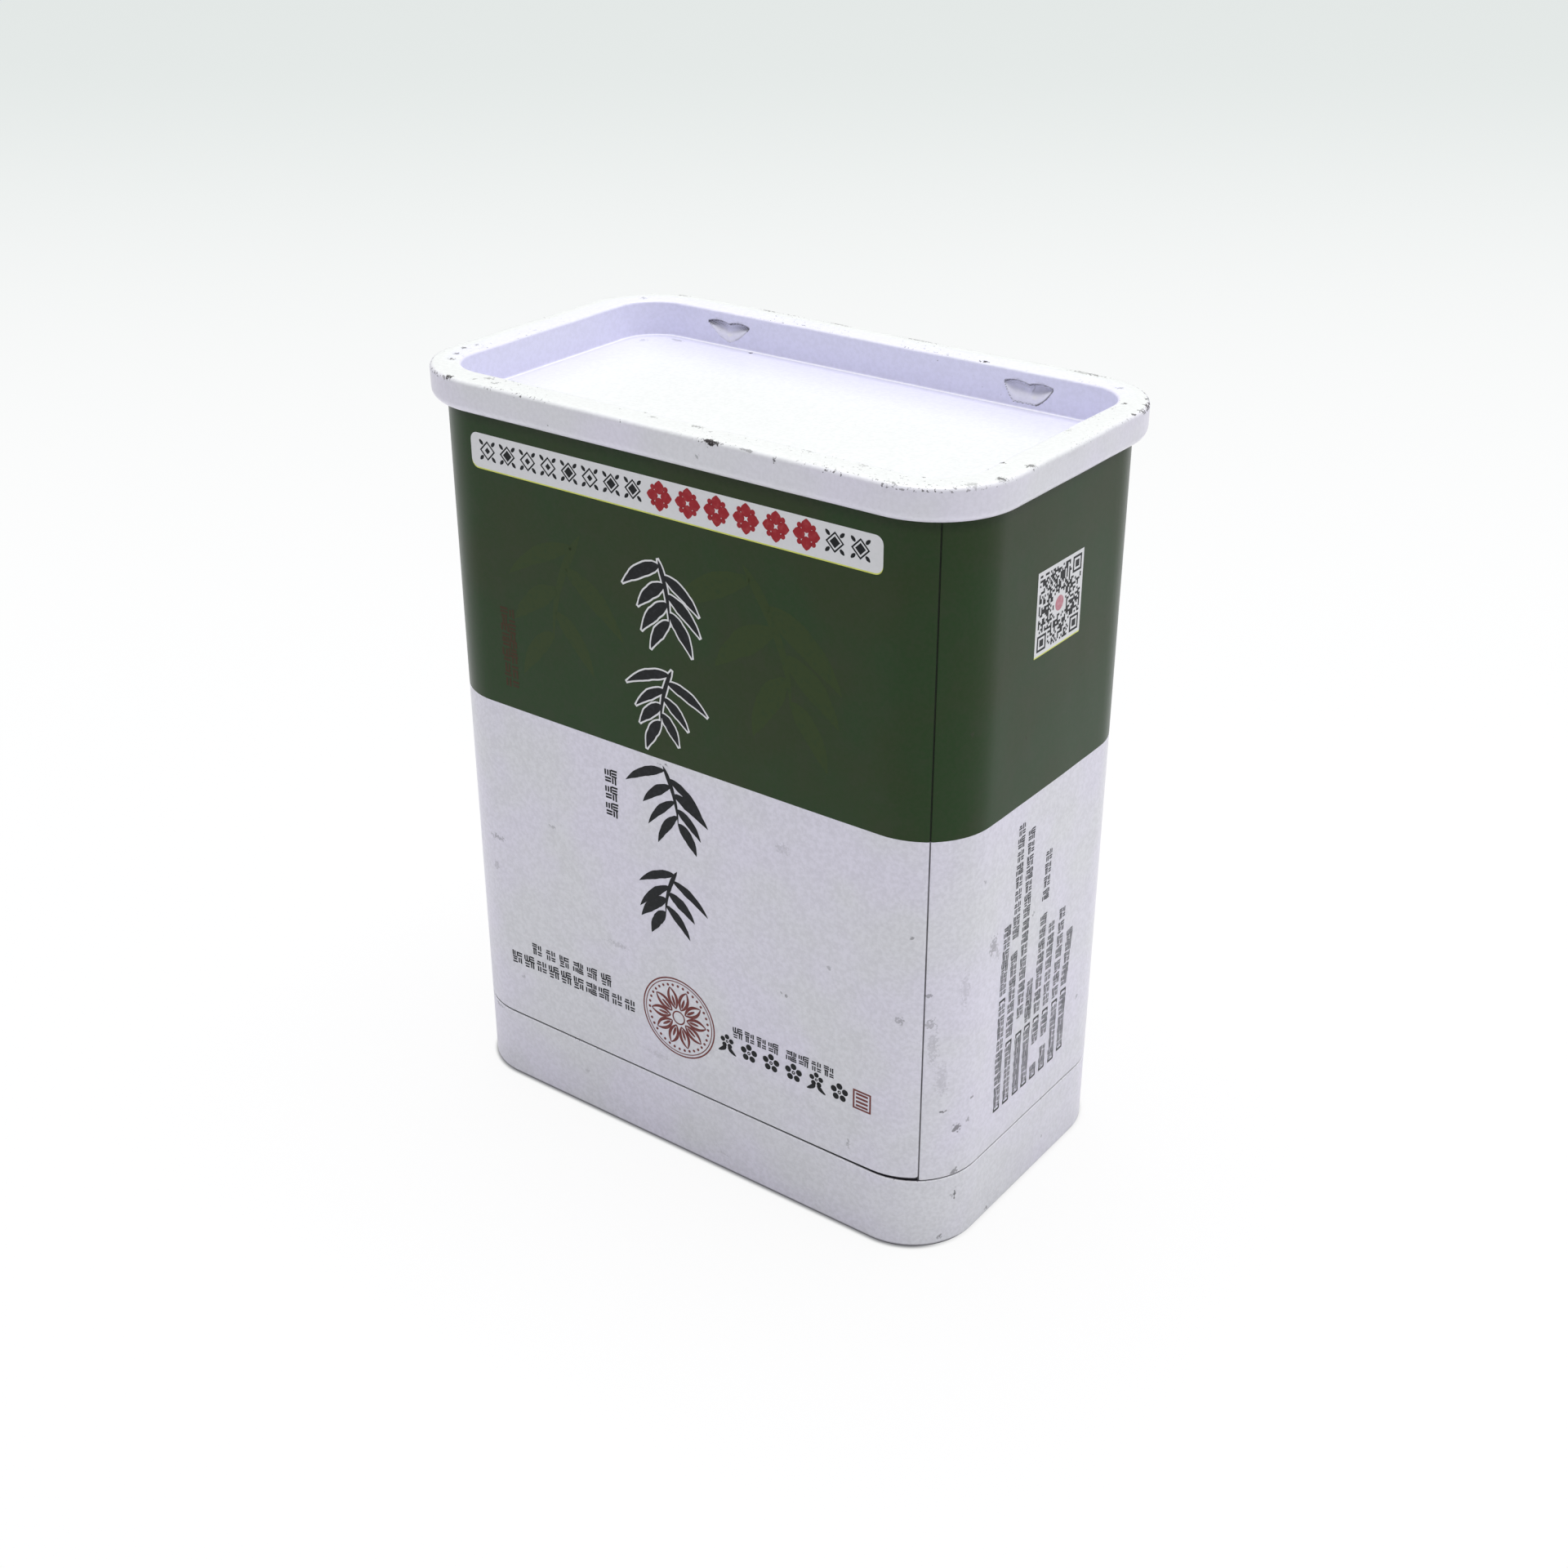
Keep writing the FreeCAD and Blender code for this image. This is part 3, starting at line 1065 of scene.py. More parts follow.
# ---- base ----
@dataclass
class DrawnBase:
    """The drawn base: curled skirt, rim, recess, and the heart-shaped stakes in its walls."""

    sizes: TinSizes
    spacing: float = 54.4
    stake_width: float = 8.2
    stake_height: float = 3.1
    stake_depth: float = 0.7
    stake_shift: float = 0.25
    below_rim: float = 1.75
    notch: float = 0.36
    waviness: float = 0.035
    fine: float = 0.14
    skew: float = 0.45
    rim_sink: float = 0.05
    rim_wave: float = 0.04
    rim_dish: float = 0.10
    curl_gap: float = 0.05
    wall_rings: int = 14
    slopes: Triple = (0.95, 0.42, 0.66)
    floor_rings: tuple[float, ...] = (0.3, 0.5, 0.75, 1.6, 3.0, 5.0, 7.5, 10.5, 14.0, 18.0)
    # Width of the painted highlight along the floor's edge.
    floor_shine: float = 0.6
    worn: dict[Face, float] = field(default_factory=lambda: {
        Face.RIGHT: 1.7, Face.LEFT: 1.35, Face.FRONT: 1.22})
    places: Stations = field(init=False)
    walk: Array = field(init=False)

    def recess(self, out: float, height: float, wear: float = 0.0) -> Ring:
        """A ring that stands out beyond the recess wall by so much."""
        corner = max(self.sizes.recess_corner + out, 0.4)
        return Ring(out - self.sizes.recess_inset, corner, height, wear)

    def profile(self) -> list[Ring]:
        """Draw the base's section: up inside the sheet, down its outside, round the rim, to the floor.

        Returns:
            The base's rings in that order.
        """
        s = self.sizes
        curl, edge, out, mouth, sheet = (s.curl_radius, s.edge_radius, s.overhang, s.mouth_radius,
                                         s.sheet)
        low, top, floor = s.rim_bottom, s.height, s.height - s.recess_depth
        under = [(sheet - s.floor_radius, floor - sheet), (sheet, floor + 0.4)]
        under += [(sheet, up) for up in np.linspace(floor + 0.7, top - 1.4, self.wall_rings)]
        under += [(sheet, top - mouth), (mouth, top - sheet)]
        rings = [self.recess(away, up) for away, up in [(-8, floor - sheet), *under]]
        outer = [(out - edge, top - sheet), (out - sheet, top - edge), (out - sheet, low + curl),
                 (0.45, low + sheet)]
        rings += [Ring(o, s.corner + o, up) for o, up in outer]
        rings += [Ring(self.curl_gap, s.corner, up) for up in (low + sheet, low)]
        outer = arc((out - curl, low + curl), curl, -90, 0, 8)
        outer += [(out, up) for up in np.linspace(low + curl + 0.15, top - edge - 0.1, 6)]
        rings += [Ring(o, s.corner + o, up) for o, up in outer]
        # Real wear round the rim's edge, taking on the painted lit tone as it turns up.
        for i, (o, up) in enumerate(arc((out - edge, top - edge), edge, 0, 90, 6)):
            worn = 0.55 + 0.45 * sin(radians(18 * i))
            rings.append(Ring(o, s.corner + o, up, worn, level=i / 6))
        # Real wear over the rim's top, in the painted lit tone of faces that look up.
        start, end = Ring(out - edge, s.corner + out - edge, top, 0.75), self.recess(mouth, top)
        for share in np.linspace(0, 1, 9)[1:]:
            worn = start.wear - 0.2 * sin(pi * share)
            rings.append(Ring(start.grow + share * (end.grow - start.grow),
                              start.corner + share * (end.corner - start.corner), top, worn,
                              level=1.0))
        # Wear at the mouth, and a painted bluish shade that deepens as it turns down.
        for away, up in arc((mouth, top - mouth), mouth, 90, 180, 7)[1:]:
            rings.append(replace(self.recess(away, up, 0.85 * (1 + (up - top) / mouth)),
                                 hollow=0.2 + 0.8 * (top - up) / mouth))
        shear = top - self.below_rim
        heights = [*np.linspace(top - mouth - 0.15, shear + 0.2, 4)]
        heights += [*np.arange(shear + 0.1, floor + s.floor_radius + 0.05, -self.fine * 0.85)]
        # Painted bluish shade over the recess wall.
        rings += [replace(self.recess(0, up), hollow=1.0) for up in heights]
        # Painted bluish shade round the floor's fillet, a painted highlight on its lower part.
        turned = arc((-s.floor_radius, floor + s.floor_radius), s.floor_radius, 0, -90, 6)
        rings += [replace(self.recess(away, up), hollow=1.0, shine=0.0 if away > -0.1 else 1.0)
                  for away, up in turned]
        # The floor: a painted highlight beside the wall, then the painted lit tone.
        return rings + [replace(self.recess(-away, floor), shine=float(away < self.floor_shine),
                                level=1.0) for away in self.floor_rings]

    def stations(self) -> Stations:
        """Lay out the places round the base, close together at the stakes.

        Returns:
            The stations.
        """
        plan = self.sizes.plan
        half = plan.half(0)[0] - self.sizes.recess_inset - self.sizes.recess_corner
        reach = self.stake_width / 2 + 0.3
        edge = self.spacing / 2
        count = round(2 * reach / self.fine) + 1
        marks = [*np.linspace(-half, -edge - reach, 5)[:-1]]
        marks += [*np.linspace(-edge + reach, edge - reach, 26)[1:-1]]
        marks += [*np.linspace(edge + reach, half, 5)[1:]]
        for middle in (-edge, edge):
            marks += [*np.linspace(middle - reach, middle + reach, count)]
        long_side, short_side = np.array(sorted(marks)) / half, np.linspace(-1, 1, 19)
        straights = {face: short_side if face.value % 2 else long_side for face in Face}
        corners = {face: np.radians(np.linspace(0, 90, 21)[1:-1]) for face in Face}
        return Stations.laid_out(straights, corners)

    def stake_marks(self, height: float) -> tuple[Array, Layers]:
        """Depth of the stakes and the shade, cracks and highlights painted on them at one height.

        Each wall has a left and a right stake, told apart by the sign of x. A stake is sheared off
        along its notched upper edge, which leans out over two lobes, and its metal runs back up to
        the wall at its lower edge.

        Args:
            height: Height in mm.

        Returns:
            For each station the depth in mm, and the layers of painted shade with cracks and of
            highlight.
        """
        places, s = self.places, self.sizes
        straight = s.plan.half(0)[0] - s.recess_inset - s.recess_corner
        long_side = ((places.face % 2) == 0) & (places.turn == 0)
        x = places.share * straight * np.where(places.face == Face.BACK.value, -1.0, 1.0)
        left = x < 0
        across = (x - np.sign(x) * self.spacing / 2 + self.stake_shift) / (self.stake_width / 2)
        part = np.clip(np.abs(across), 0, 1)
        drop = s.height - self.below_rim - height
        upper = self.notch * (2 * part - 1) ** 2
        fall = np.clip((1 - part) / np.select([left, across < 0], self.slopes[:2], self.slopes[2]),
                       0, 1)
        lower = self.notch + (self.stake_height - self.notch) * (fall + 0.14 * np.sin(pi * fall))
        inside = long_side & (part < 1) & (drop > upper) & (drop < lower)
        down = np.clip((drop - upper) / np.maximum(lower - upper, TINY), 0, 1)
        lobes = 0.5 + 0.5 * np.sin(pi * np.clip(part * 1.15, 0, 1)) ** 0.7
        pinched = np.sqrt(np.clip((1 - part) * 5, 0, 1))
        depth = self.stake_depth * (1 - ease(down, 0.15, 0.80)) * lobes * pinched
        hidden = upper + 0.5 * self.stake_depth * lobes
        # Painted shade with cracked paint: sheared edge, the shade below it, the flanks and the ridge.
        grainy = np.clip(0.62 + 0.8 * ripple(x * 6 + height * 17, 33, 5.0), 0, 1)
        sheared = bell(drop - upper, -0.02, 0.15) * (0.6 + 0.9 * grainy)
        under = bell(drop - hidden, 0.15, 0.2) * (0.2 + 0.8 * grainy) * 0.35
        band = ease(hidden + 0.65 - drop, 0.0, 0.35) * grainy * (0.2 + 0.7 * part)
        flank = bell(lower - drop, 0.0, 0.18) * np.where(across > 0.3, 0.95, 0.9 * grainy ** 2)
        bent = 0.12 + 0.05 * np.sin(drop * 2.5)
        ridge = bell(across, bent, 0.03) * (drop < hidden + 0.8) * 0.5
        # Painted shade over the right stake's upper lobe.
        lobe = 0.2 * (x > 0) * (across > bent) * (1 - ease(down, 0.35, 0.6)) * inside
        marks = sheared + np.where(left, band, np.maximum(under, ridge)) * (drop > upper)
        marks = (marks + flank * np.where(left, 0.35, 1.0)) * (part < 0.995) * (drop > upper - 0.3)
        # Painted glint low on the ramp, and painted light over its lower part.
        glint = np.exp(-((across - np.where(left, 0.02, 0.24)) / 0.22) ** 2
                       - ((down - 0.60 - 0.15 * across) / 0.16) ** 2)
        bright = np.maximum(glint, 0.55 * ease(down, 0.30, 0.55)) * inside
        dark = np.clip(np.maximum(marks, lobe), 0, 0.95) * long_side * (drop < lower + 0.1)
        return np.where(inside, depth, 0.0), {"crease": dark, "shine": bright}

    def paint(self, ring: Ring) -> Layers:
        """Paint shade, cracks and glints on the stakes, shade by the far walls, and rim wear.

        Args:
            ring: The ring that is being painted.

        Returns:
            The painted layers of the ring, one value for each station.
        """
        s = self.sizes
        if abs(ring.grow + s.recess_inset) < TINY:
            return self.stake_marks(ring.height)[1]
        if ring.height == s.height - s.recess_depth:
            # Painted bluish shade and darkening on the floor beside the far walls.
            across, back, _ = s.plan.ring(self.places, ring.grow, ring.corner, 0.0).T
            behind = 1 - ease(s.depth / 2 - s.recess_inset - back, 0.4, 14.0)
            beside = 1 - ease(s.width / 2 - s.recess_inset + across, 0.4, 11.0)
            tint = np.maximum(behind, beside * 0.8) * (1 - ring.shine)
            return {"hollow": tint * 0.8, "crease": tint * 0.2}
        if ring.height < s.height - s.edge_radius or ring.grow < s.mouth_radius - s.recess_inset:
            return {}
        # Painted bluish shade on the rim's inner half at the far sides; real wear at the corners.
        outward = s.plan.outward(self.places)
        inner = float(ease(ring.grow, 0.6, -1.2))
        far = ease(outward @ np.array((-0.6, 0.8, 0.0)), -0.2, 0.5)
        edge = float(ease(ring.grow, s.overhang - 0.9, s.overhang - 0.25))
        corner = self.places.turn > 0
        zones = np.select([corner & (self.places.face == face.value) for face in self.worn],
                          list(self.worn.values()), 0.0)
        return {"hollow": 0.6 * inner * far, "wear": zones * edge}

    def shift(self, ring: Ring, points: Array) -> Array:
        """Press the stakes into the recess wall and let the rim wave a little.

        Args:
            ring: The ring that is being laid.
            points: Its plain points.

        Returns:
            The points where the drawn metal runs.
        """
        s = self.sizes
        outward = s.plan.outward(self.places)
        behind = ring.grow + s.recess_inset
        if -TINY < behind < s.sheet + 0.01 and s.height - 0.95 > ring.height:
            up = ring.height if behind < 0.1 else ring.height - s.sheet
            points += outward * self.stake_marks(up)[0][:, None]
        if ring.grow > 0.4:
            points += outward * (ripple(self.walk, 21, 57.0) * self.waviness - self.waviness)[:, None]
        spread = float(ease(ring.grow, -2.4, 1.4)) * self.skew
        points[:, 0] -= spread * np.clip(-outward[:, 0], 0, 1)
        if ring.height > s.height - 0.7:
            points[:, 2] += ripple(self.walk, 23, 39.0) * self.rim_wave - self.rim_sink
            points[:, 2] -= self.rim_dish * max(0.0, min(1.0, (0.2 - ring.grow) / 2.2))
        return points

    def build(self, white: Material) -> Object:
        """Make the base in white enamel.

        Args:
            white: The base's enamel.

        Returns:
            The piece that stands for the base's node.
        """
        self.places = self.stations()
        self.walk = self.places.face * 83.0 + self.places.share * 40 + self.places.turn * 8
        skin = Skin(self.sizes.plan, self.places, self.profile(), self.shift, self.paint)
        mesh = skin.mesh("tin_base")
        mesh.materials.append(white)
        return place_piece("tin_base", mesh, "base")


# ---- flat artwork ----
class Lift:
    """How far each layer of the print stands off the enamel, in mm."""

    FAINT = 0.006
    UNDER = 0.010
    PLAIN = 0.014
    OVER = 0.018
    TOP = 0.026
    STEP = 0.0004


@dataclass
class Artwork:
    """Flat shapes of one ink: across, height and lift in mm, and the faces between them."""

    points: list[Triple] = field(default_factory=list)
    faces: list[list[int]] = field(default_factory=list)
    lift: float = Lift.PLAIN

    def polygon(self, outline: Sequence[Pair]) -> None:
        """Add one filled shape, its outline anticlockwise."""
        self.points += [(x, z, self.lift) for x, z in outline]
        self.faces.append(list(range(len(self.points) - len(outline), len(self.points))))

    def strip(self, first: Sequence[Pair], second: Sequence[Pair], closed: bool = False,
              parts: int = 1) -> None:
        """Fill the band between two lines of equal length, the second on the left.

        Args:
            first: Points on the right of the way.
            second: Points on the left of it.
            closed: Whether the band runs back into its start.
            parts: How many parts it has across.
        """
        start, count = len(self.points), len(first)
        for part in range(parts + 1):
            share = part / parts
            self.points += [(x0 + share * (x1 - x0), z0 + share * (z1 - z0), self.lift)
                            for (x0, z0), (x1, z1) in zip(first, second)]
        for part in range(parts):
            low, high = start + part * count, start + (part + 1) * count
            for i in range(count if closed else count - 1):
                j = (i + 1) % count
                self.faces.append([low + i, low + j, high + j, high + i])

    def bar(self, middle: Pair, size: Pair, turn: float = 0.0) -> None:
        """Add a straight bar.

        Args:
            middle: Its middle.
            size: Its width and height.
            turn: Its turn in degrees.
        """
        c, s = cos(radians(turn)), sin(radians(turn))
        corners = [(-1, -1), (1, -1), (1, 1), (-1, 1)]
        halves = [(a * size[0] / 2, b * size[1] / 2) for a, b in corners]
        self.polygon([(middle[0] + x * c - z * s, middle[1] + x * s + z * c) for x, z in halves])

    @staticmethod
    def circle(middle: Pair, radius: float, sides: int) -> list[Pair]:
        """Points of a circle, anticlockwise from its right."""
        angles = np.linspace(0, tau, sides, endpoint=False)
        return [polar(middle, radius, angle) for angle in angles]

    def disc(self, middle: Pair, radius: float, sides: int = 24) -> None:
        """Add a filled circle."""
        self.polygon(self.circle(middle, radius, sides))

    def hoop(self, middle: Pair, inner: float, outer: float, sides: int = 72) -> None:
        """Add a ring."""
        outside, inside = [self.circle(middle, radius, sides) for radius in (outer, inner)]
        self.strip(outside, inside, closed=True)

    def add(self, other: "Artwork") -> None:
        """Add another artwork to this one."""
        self.faces += [[v + len(self.points) for v in face] for face in other.faces]
        self.points += other.points

    def rounded(self, low: Pair, high: Pair, radius: float, columns: int = 40) -> None:
        """Add a rounded bar in columns, so that it can follow a bowed panel.

        Args:
            low: Its lower left corner.
            high: Its upper right corner.
            radius: Its corner radius.
            columns: How many columns lie between its rounded ends.
        """
        ends = radius * (1 - np.cos(np.linspace(0, pi / 2, 7)))
        places = [*(low[0] + ends), *np.linspace(low[0] + radius, high[0] - radius, columns)[1:-1],
                  *(high[0] - ends)[::-1]]
        under, over = [], []
        for x in places:
            inset = max(low[0] + radius - x, x - high[0] + radius, 0.0)
            cut = radius - sqrt(max(radius ** 2 - inset ** 2, 0.0))
            under.append((x, low[1] + cut))
            over.append((x, high[1] - cut))
        self.strip(under, over, parts=max(1, round(high[1] - low[1])))

    def brush(self, way: Sequence[Pair], widest: float, seed: int, spread: float = 0.0,
              peak: float = 0.35) -> None:
        """Add one brush stroke that swells and tapers.

        Args:
            way: Start, bend and end of the stroke.
            widest: Its greatest width.
            seed: Which unevenness its edges have.
            spread: How much wider it is drawn on each side.
            peak: Where along it the stroke is widest, 0 to 1.
        """
        start, bend, end = [np.array(p, float) for p in way]
        share = np.linspace(0, 1, 15)
        line = (np.outer((1 - share) ** 2, start) + np.outer(2 * share * (1 - share), bend)
                + np.outer(share ** 2, end))
        heading = np.gradient(line, axis=0)
        heading /= np.linalg.norm(heading, axis=1)[:, None]
        side = np.stack([-heading[:, 1], heading[:, 0]], axis=1)
        swell = np.where(share < peak, np.sin(share / peak * pi / 2) ** 0.6,
                         np.cos((share - peak) / (1 - peak) * pi / 2) ** 0.9)
        uneven = 1 + 0.10 * ripple(share * 20, seed, 9.0)
        half = widest / 2 * swell * uneven + spread + 0.02
        line[0] -= heading[0] * spread
        line[-1] += heading[-1] * spread
        self.strip((line - side * half[:, None]).tolist(), (line + side * half[:, None]).tolist())

    def mesh(self, name: str, body: TinBody, face: Face, ink: Material) -> Mesh:
        """Lay the artwork on a face.

        Args:
            name: The mesh's name.
            body: The body that carries it.
            face: The face it lies on.
            ink: Its ink.

        Returns:
            The mesh, in metres.
        """
        mesh = bpy.data.meshes.new(name)
        mesh.from_pydata(body.wrap(face, np.array(self.points)).tolist(), [], self.faces)
        mesh.materials.append(ink)
        return mesh


# ---- repeats made by geometry nodes ----
class Repeat(Enum):
    """The ways in which small motifs are repeated."""

    ROW = "row"
    WREATH = "wreath"
    MODULES = "modules"


class Repeater:
    """Geometry node trees that set small flat motifs in a row, a wreath or a square."""

    PICKS = 99
    SOCKETS: dict[Repeat, dict[str, str]] = {
        Repeat.ROW: {"Start": "Vector", "Step": "Vector", "Count": "Int", "Keep": "Float",
                     "Motifs": "Collection", "Size": "Float", "Seed": "Int", "Ink": "Material"},
        Repeat.WREATH: {"Centre": "Vector", "Radius": "Float", "Count": "Int",
                        "Motifs": "Collection", "Size": "Float", "Ink": "Material"},
        Repeat.MODULES: {"Centre": "Vector", "Side": "Float", "Count": "Int", "Keep": "Float",
                         "Corner": "Float", "Clear": "Float", "Seed": "Int", "Ink": "Material"},
    }

    def __init__(self) -> None:
        """Build the three trees."""
        self.trees = {kind: self._tree(kind) for kind in Repeat}

    def _tree(self, kind: Repeat) -> NodeTree:
        """Build one tree with its named inputs."""
        graph = new_tree(f"repeat_{kind.value}", self.SOCKETS[kind])
        return end_tree(graph, getattr(self, f"_{kind.value}")(graph), graph["Ink"])

    @staticmethod
    def _motifs(graph: Graph) -> Wire:
        """Read the motifs, each as an instance of its own."""
        return graph.node("GeometryNodeCollectionInfo", {}, {
            "Collection": graph["Motifs"], "Separate Children": True, "Reset Children": True})

    def _row(self, graph: Graph) -> Wire:
        """Set motifs at equal steps, some left out, picked at random.

        Args:
            graph: The tree's graph.

        Returns:
            The row, as instances.
        """
        line = graph.node("GeometryNodeMeshLine", {}, {
            "Count": graph["Count"], "Start Location": graph["Start"], "Offset": graph["Step"]})
        kept = graph.node("FunctionNodeRandomValue", {"data_type": "BOOLEAN"},
                          {"Probability": graph["Keep"], "Seed": graph["Seed"]})
        pick = graph.node("FunctionNodeRandomValue", {"data_type": "INT"},
                          {4: 0, 5: self.PICKS, "Seed": graph["Seed"]})
        return graph.node("GeometryNodeInstanceOnPoints", {}, {
            "Points": line, "Selection": kept, "Instance": self._motifs(graph),
            "Pick Instance": True, "Instance Index": pick, "Scale": graph["Size"]})

    def _wreath(self, graph: Graph) -> Wire:
        """Set motifs round a circle, each turned to point outwards.

        Args:
            graph: The tree's graph.

        Returns:
            The wreath, as instances.
        """
        circle = graph.node("GeometryNodeMeshCircle", {}, {
            "Vertices": graph["Count"], "Radius": graph["Radius"]})
        number = graph.node("GeometryNodeInputIndex")
        angle = number / graph["Count"] * tau
        turn = graph.node("ShaderNodeCombineXYZ", {}, {"Z": angle})
        spread = graph.node("GeometryNodeInstanceOnPoints", {}, {
            "Points": circle, "Instance": self._motifs(graph), "Pick Instance": True,
            "Rotation": turn, "Scale": graph["Size"]})
        return graph.node("GeometryNodeTransform", {}, {
            "Geometry": spread, "Translation": graph["Centre"]})

    def _modules(self, graph: Graph) -> Wire:
        """Set square modules on a grid, thinned at random, three corners and the middle left free.

        Args:
            graph: The tree's graph.

        Returns:
            The modules, as instances.
        """
        step = graph["Side"] / graph["Count"]
        across = graph["Side"] - step
        grid = graph.node("GeometryNodeMeshGrid", {}, {
            "Size X": across, "Size Y": across, "Vertices X": graph["Count"],
            "Vertices Y": graph["Count"]})
        flat = graph.split(graph.node("GeometryNodeInputPosition"))
        edge = graph["Side"] * 0.5 - graph["Corner"]
        right, left = [graph.sum("GREATER_THAN", flat["X"] * way, edge) for way in (1, -1)]
        upper, lower = [graph.sum("GREATER_THAN", flat["Y"] * way, edge) for way in (1, -1)]
        far = [graph.sum("ABSOLUTE", flat[axis], 0.0) for axis in "XY"]
        middle = graph.sum("LESS_THAN", far[0].either(far[1]), graph["Clear"])
        barred = (right * upper).either(left * lower).either(right * lower).either(middle)
        chance = graph.node("FunctionNodeRandomValue", {"data_type": "FLOAT"},
                            {2: 0.0, 3: 1.0, "Seed": graph["Seed"]})
        kept = graph.sum("LESS_THAN", chance + barred * 2, graph["Keep"])
        module = graph.node("GeometryNodeMeshGrid", {}, {
            "Size X": step, "Size Y": step, "Vertices X": 2, "Vertices Y": 2})
        spread = graph.node("GeometryNodeInstanceOnPoints", {}, {
            "Points": grid, "Selection": kept, "Instance": module})
        return graph.node("GeometryNodeTransform", {}, {
            "Geometry": spread, "Translation": graph["Centre"]})

    def run(self, kind: Repeat, values: dict[str, Any]) -> Artwork:
        """Run one tree.

        Args:
            kind: Which tree.
            values: A value for each of its named inputs, its ink apart.

        Returns:
            The repeated motifs as flat artwork.
        """
        made = grown(self.trees[kind], values | {"Ink": None}, kind.value)
        art = Artwork(points=[tuple(v.co) for v in made.vertices],
                      faces=[list(p.vertices) for p in made.polygons])
        bpy.data.meshes.remove(made)
        return art


class Motif(Enum):
    """Small generic motifs, drawn about their own middle in a square of side 1."""

    WEAVE = "weave"
    LOZENGE = "lozenge"
    FLOWER = "flower"
    BLOSSOM = "blossom"
    BEAD = "bead"
    PETAL = "petal"


class MotifBook:
    """Draws each motif once and keeps it in a collection of its own."""

    def __init__(self) -> None:
        """Draw every motif."""
        self.shelves = {motif: self._shelf(motif) for motif in Motif}

    def _shelf(self, motif: Motif) -> Collection:
        """Draw the variants of one motif.

        Args:
            motif: The motif.

        Returns:
            A collection with one flat object for each variant.
        """
        shelf = bpy.data.collections.new(f"motif_{motif.value}")
        for number, art in enumerate(getattr(self, f"_{motif.value}")()):
            mesh = bpy.data.meshes.new(f"{motif.value}_{number}")
            mesh.from_pydata([(x, z, 0.0) for x, z, _ in art.points], [], art.faces)
            shelf.objects.link(bpy.data.objects.new(f"{motif.value}_{number}", mesh))
        return shelf

    @staticmethod
    def _weave() -> Iterator[Artwork]:
        """Draw four blocks of two or three short bars, level and upright by turns, as in wicker.

        Returns:
            Its variants.
        """
        random = np.random.default_rng(6)
        for number in range(6):
            art = Artwork()
            for block, (x, z) in enumerate(((-1, 1), (1, 1), (1, -1), (-1, -1))):
                turn = 90 * ((block + number) % 2)
                bars = random.integers(2, 4)
                for bar in range(bars):
                    off = (bar - (bars - 1) / 2) * random.uniform(0.17, 0.24)
                    middle = (x * 0.25 + (off if turn else 0.0), z * 0.25 + (0.0 if turn else off))
                    art.bar(middle, (random.uniform(0.36, 0.5), 0.13), turn)
            yield art

    @staticmethod
    def _lozenge() -> Iterator[Artwork]:
        """Draw a lozenge of four thin bars round a smaller full one, with a leaf in each corner.

        Returns:
            Its variants.
        """
        for inner in (0.26, 0.16):
            art = Artwork()
            outside, inside, full = [[(r, 0.0), (0.0, r), (-r, 0.0), (0.0, -r)]
                                     for r in (0.46, 0.36, inner)]
            art.strip(outside, inside, closed=True)
            art.polygon(full)
            for quarter in range(4):
                way = radians(45 + 90 * quarter)
                near, far = [polar((0.0, 0.0), reach, way) for reach in (0.36, 0.66)]
                bend = ((near[0] + far[0]) / 2, (near[1] + far[1]) / 2)
                art.brush((near, bend, far), 0.13, quarter, peak=0.5)
            yield art

    @staticmethod
    def _flower() -> Iterator[Artwork]:
        """Draw a four-petalled flower with a dot between each two petals.

        Returns:
            The flower.
        """
        art = Artwork()
        for quarter in range(4):
            angle = radians(90 * quarter)
            root, bend, tip = [polar((0.0, 0.0), reach, angle) for reach in (0.06, 0.28, 0.56)]
            art.brush((root, bend, tip), 0.40, quarter, peak=0.55)
            art.disc(polar((0.0, 0.0), 0.41, angle + pi / 4), 0.105, 10)
        yield art

    @staticmethod
    def _blossom() -> Iterator[Artwork]:
        """Draw a five-petalled blossom, and the same with a pair of leaves below it.

        Returns:
            Its variants.
        """
        for middle, reach, leaves in (((0.0, 0.0), 0.31, ()), ((0.0, 0.14), 0.25, (-1, 1))):
            art = Artwork()
            for petal in range(5):
                art.disc(polar(middle, reach, radians(90 + 72 * petal)), reach * 0.52, 12)
            art.hoop(middle, reach * 0.12, reach * 0.30, 12)
            for side in leaves:
                art.brush(((0.06 * side, -0.12), (0.22 * side, -0.34), (0.50 * side, -0.46)),
                          0.17, 7 + side)
            yield art

    @staticmethod
    def _bead() -> Iterator[Artwork]:
        """Draw a round bead.

        Returns:
            The bead.
        """
        art = Artwork()
        art.disc((0.0, 0.0), 0.5, 12)
        yield art

    @staticmethod
    def _petal() -> Iterator[Artwork]:
        """Draw a petal outline that points along +X from the wreath's circle.

        Returns:
            The petal.
        """
        art = Artwork()
        for way in (1, -1):
            art.brush(((-0.5, 0.0), (0.05, 0.42 * way), (0.55, 0.0)), 0.11, 3 + way, peak=0.5)
        art.brush(((-0.35, 0.0), (0.0, 0.0), (0.15, 0.0)), 0.09, 9)
        yield art


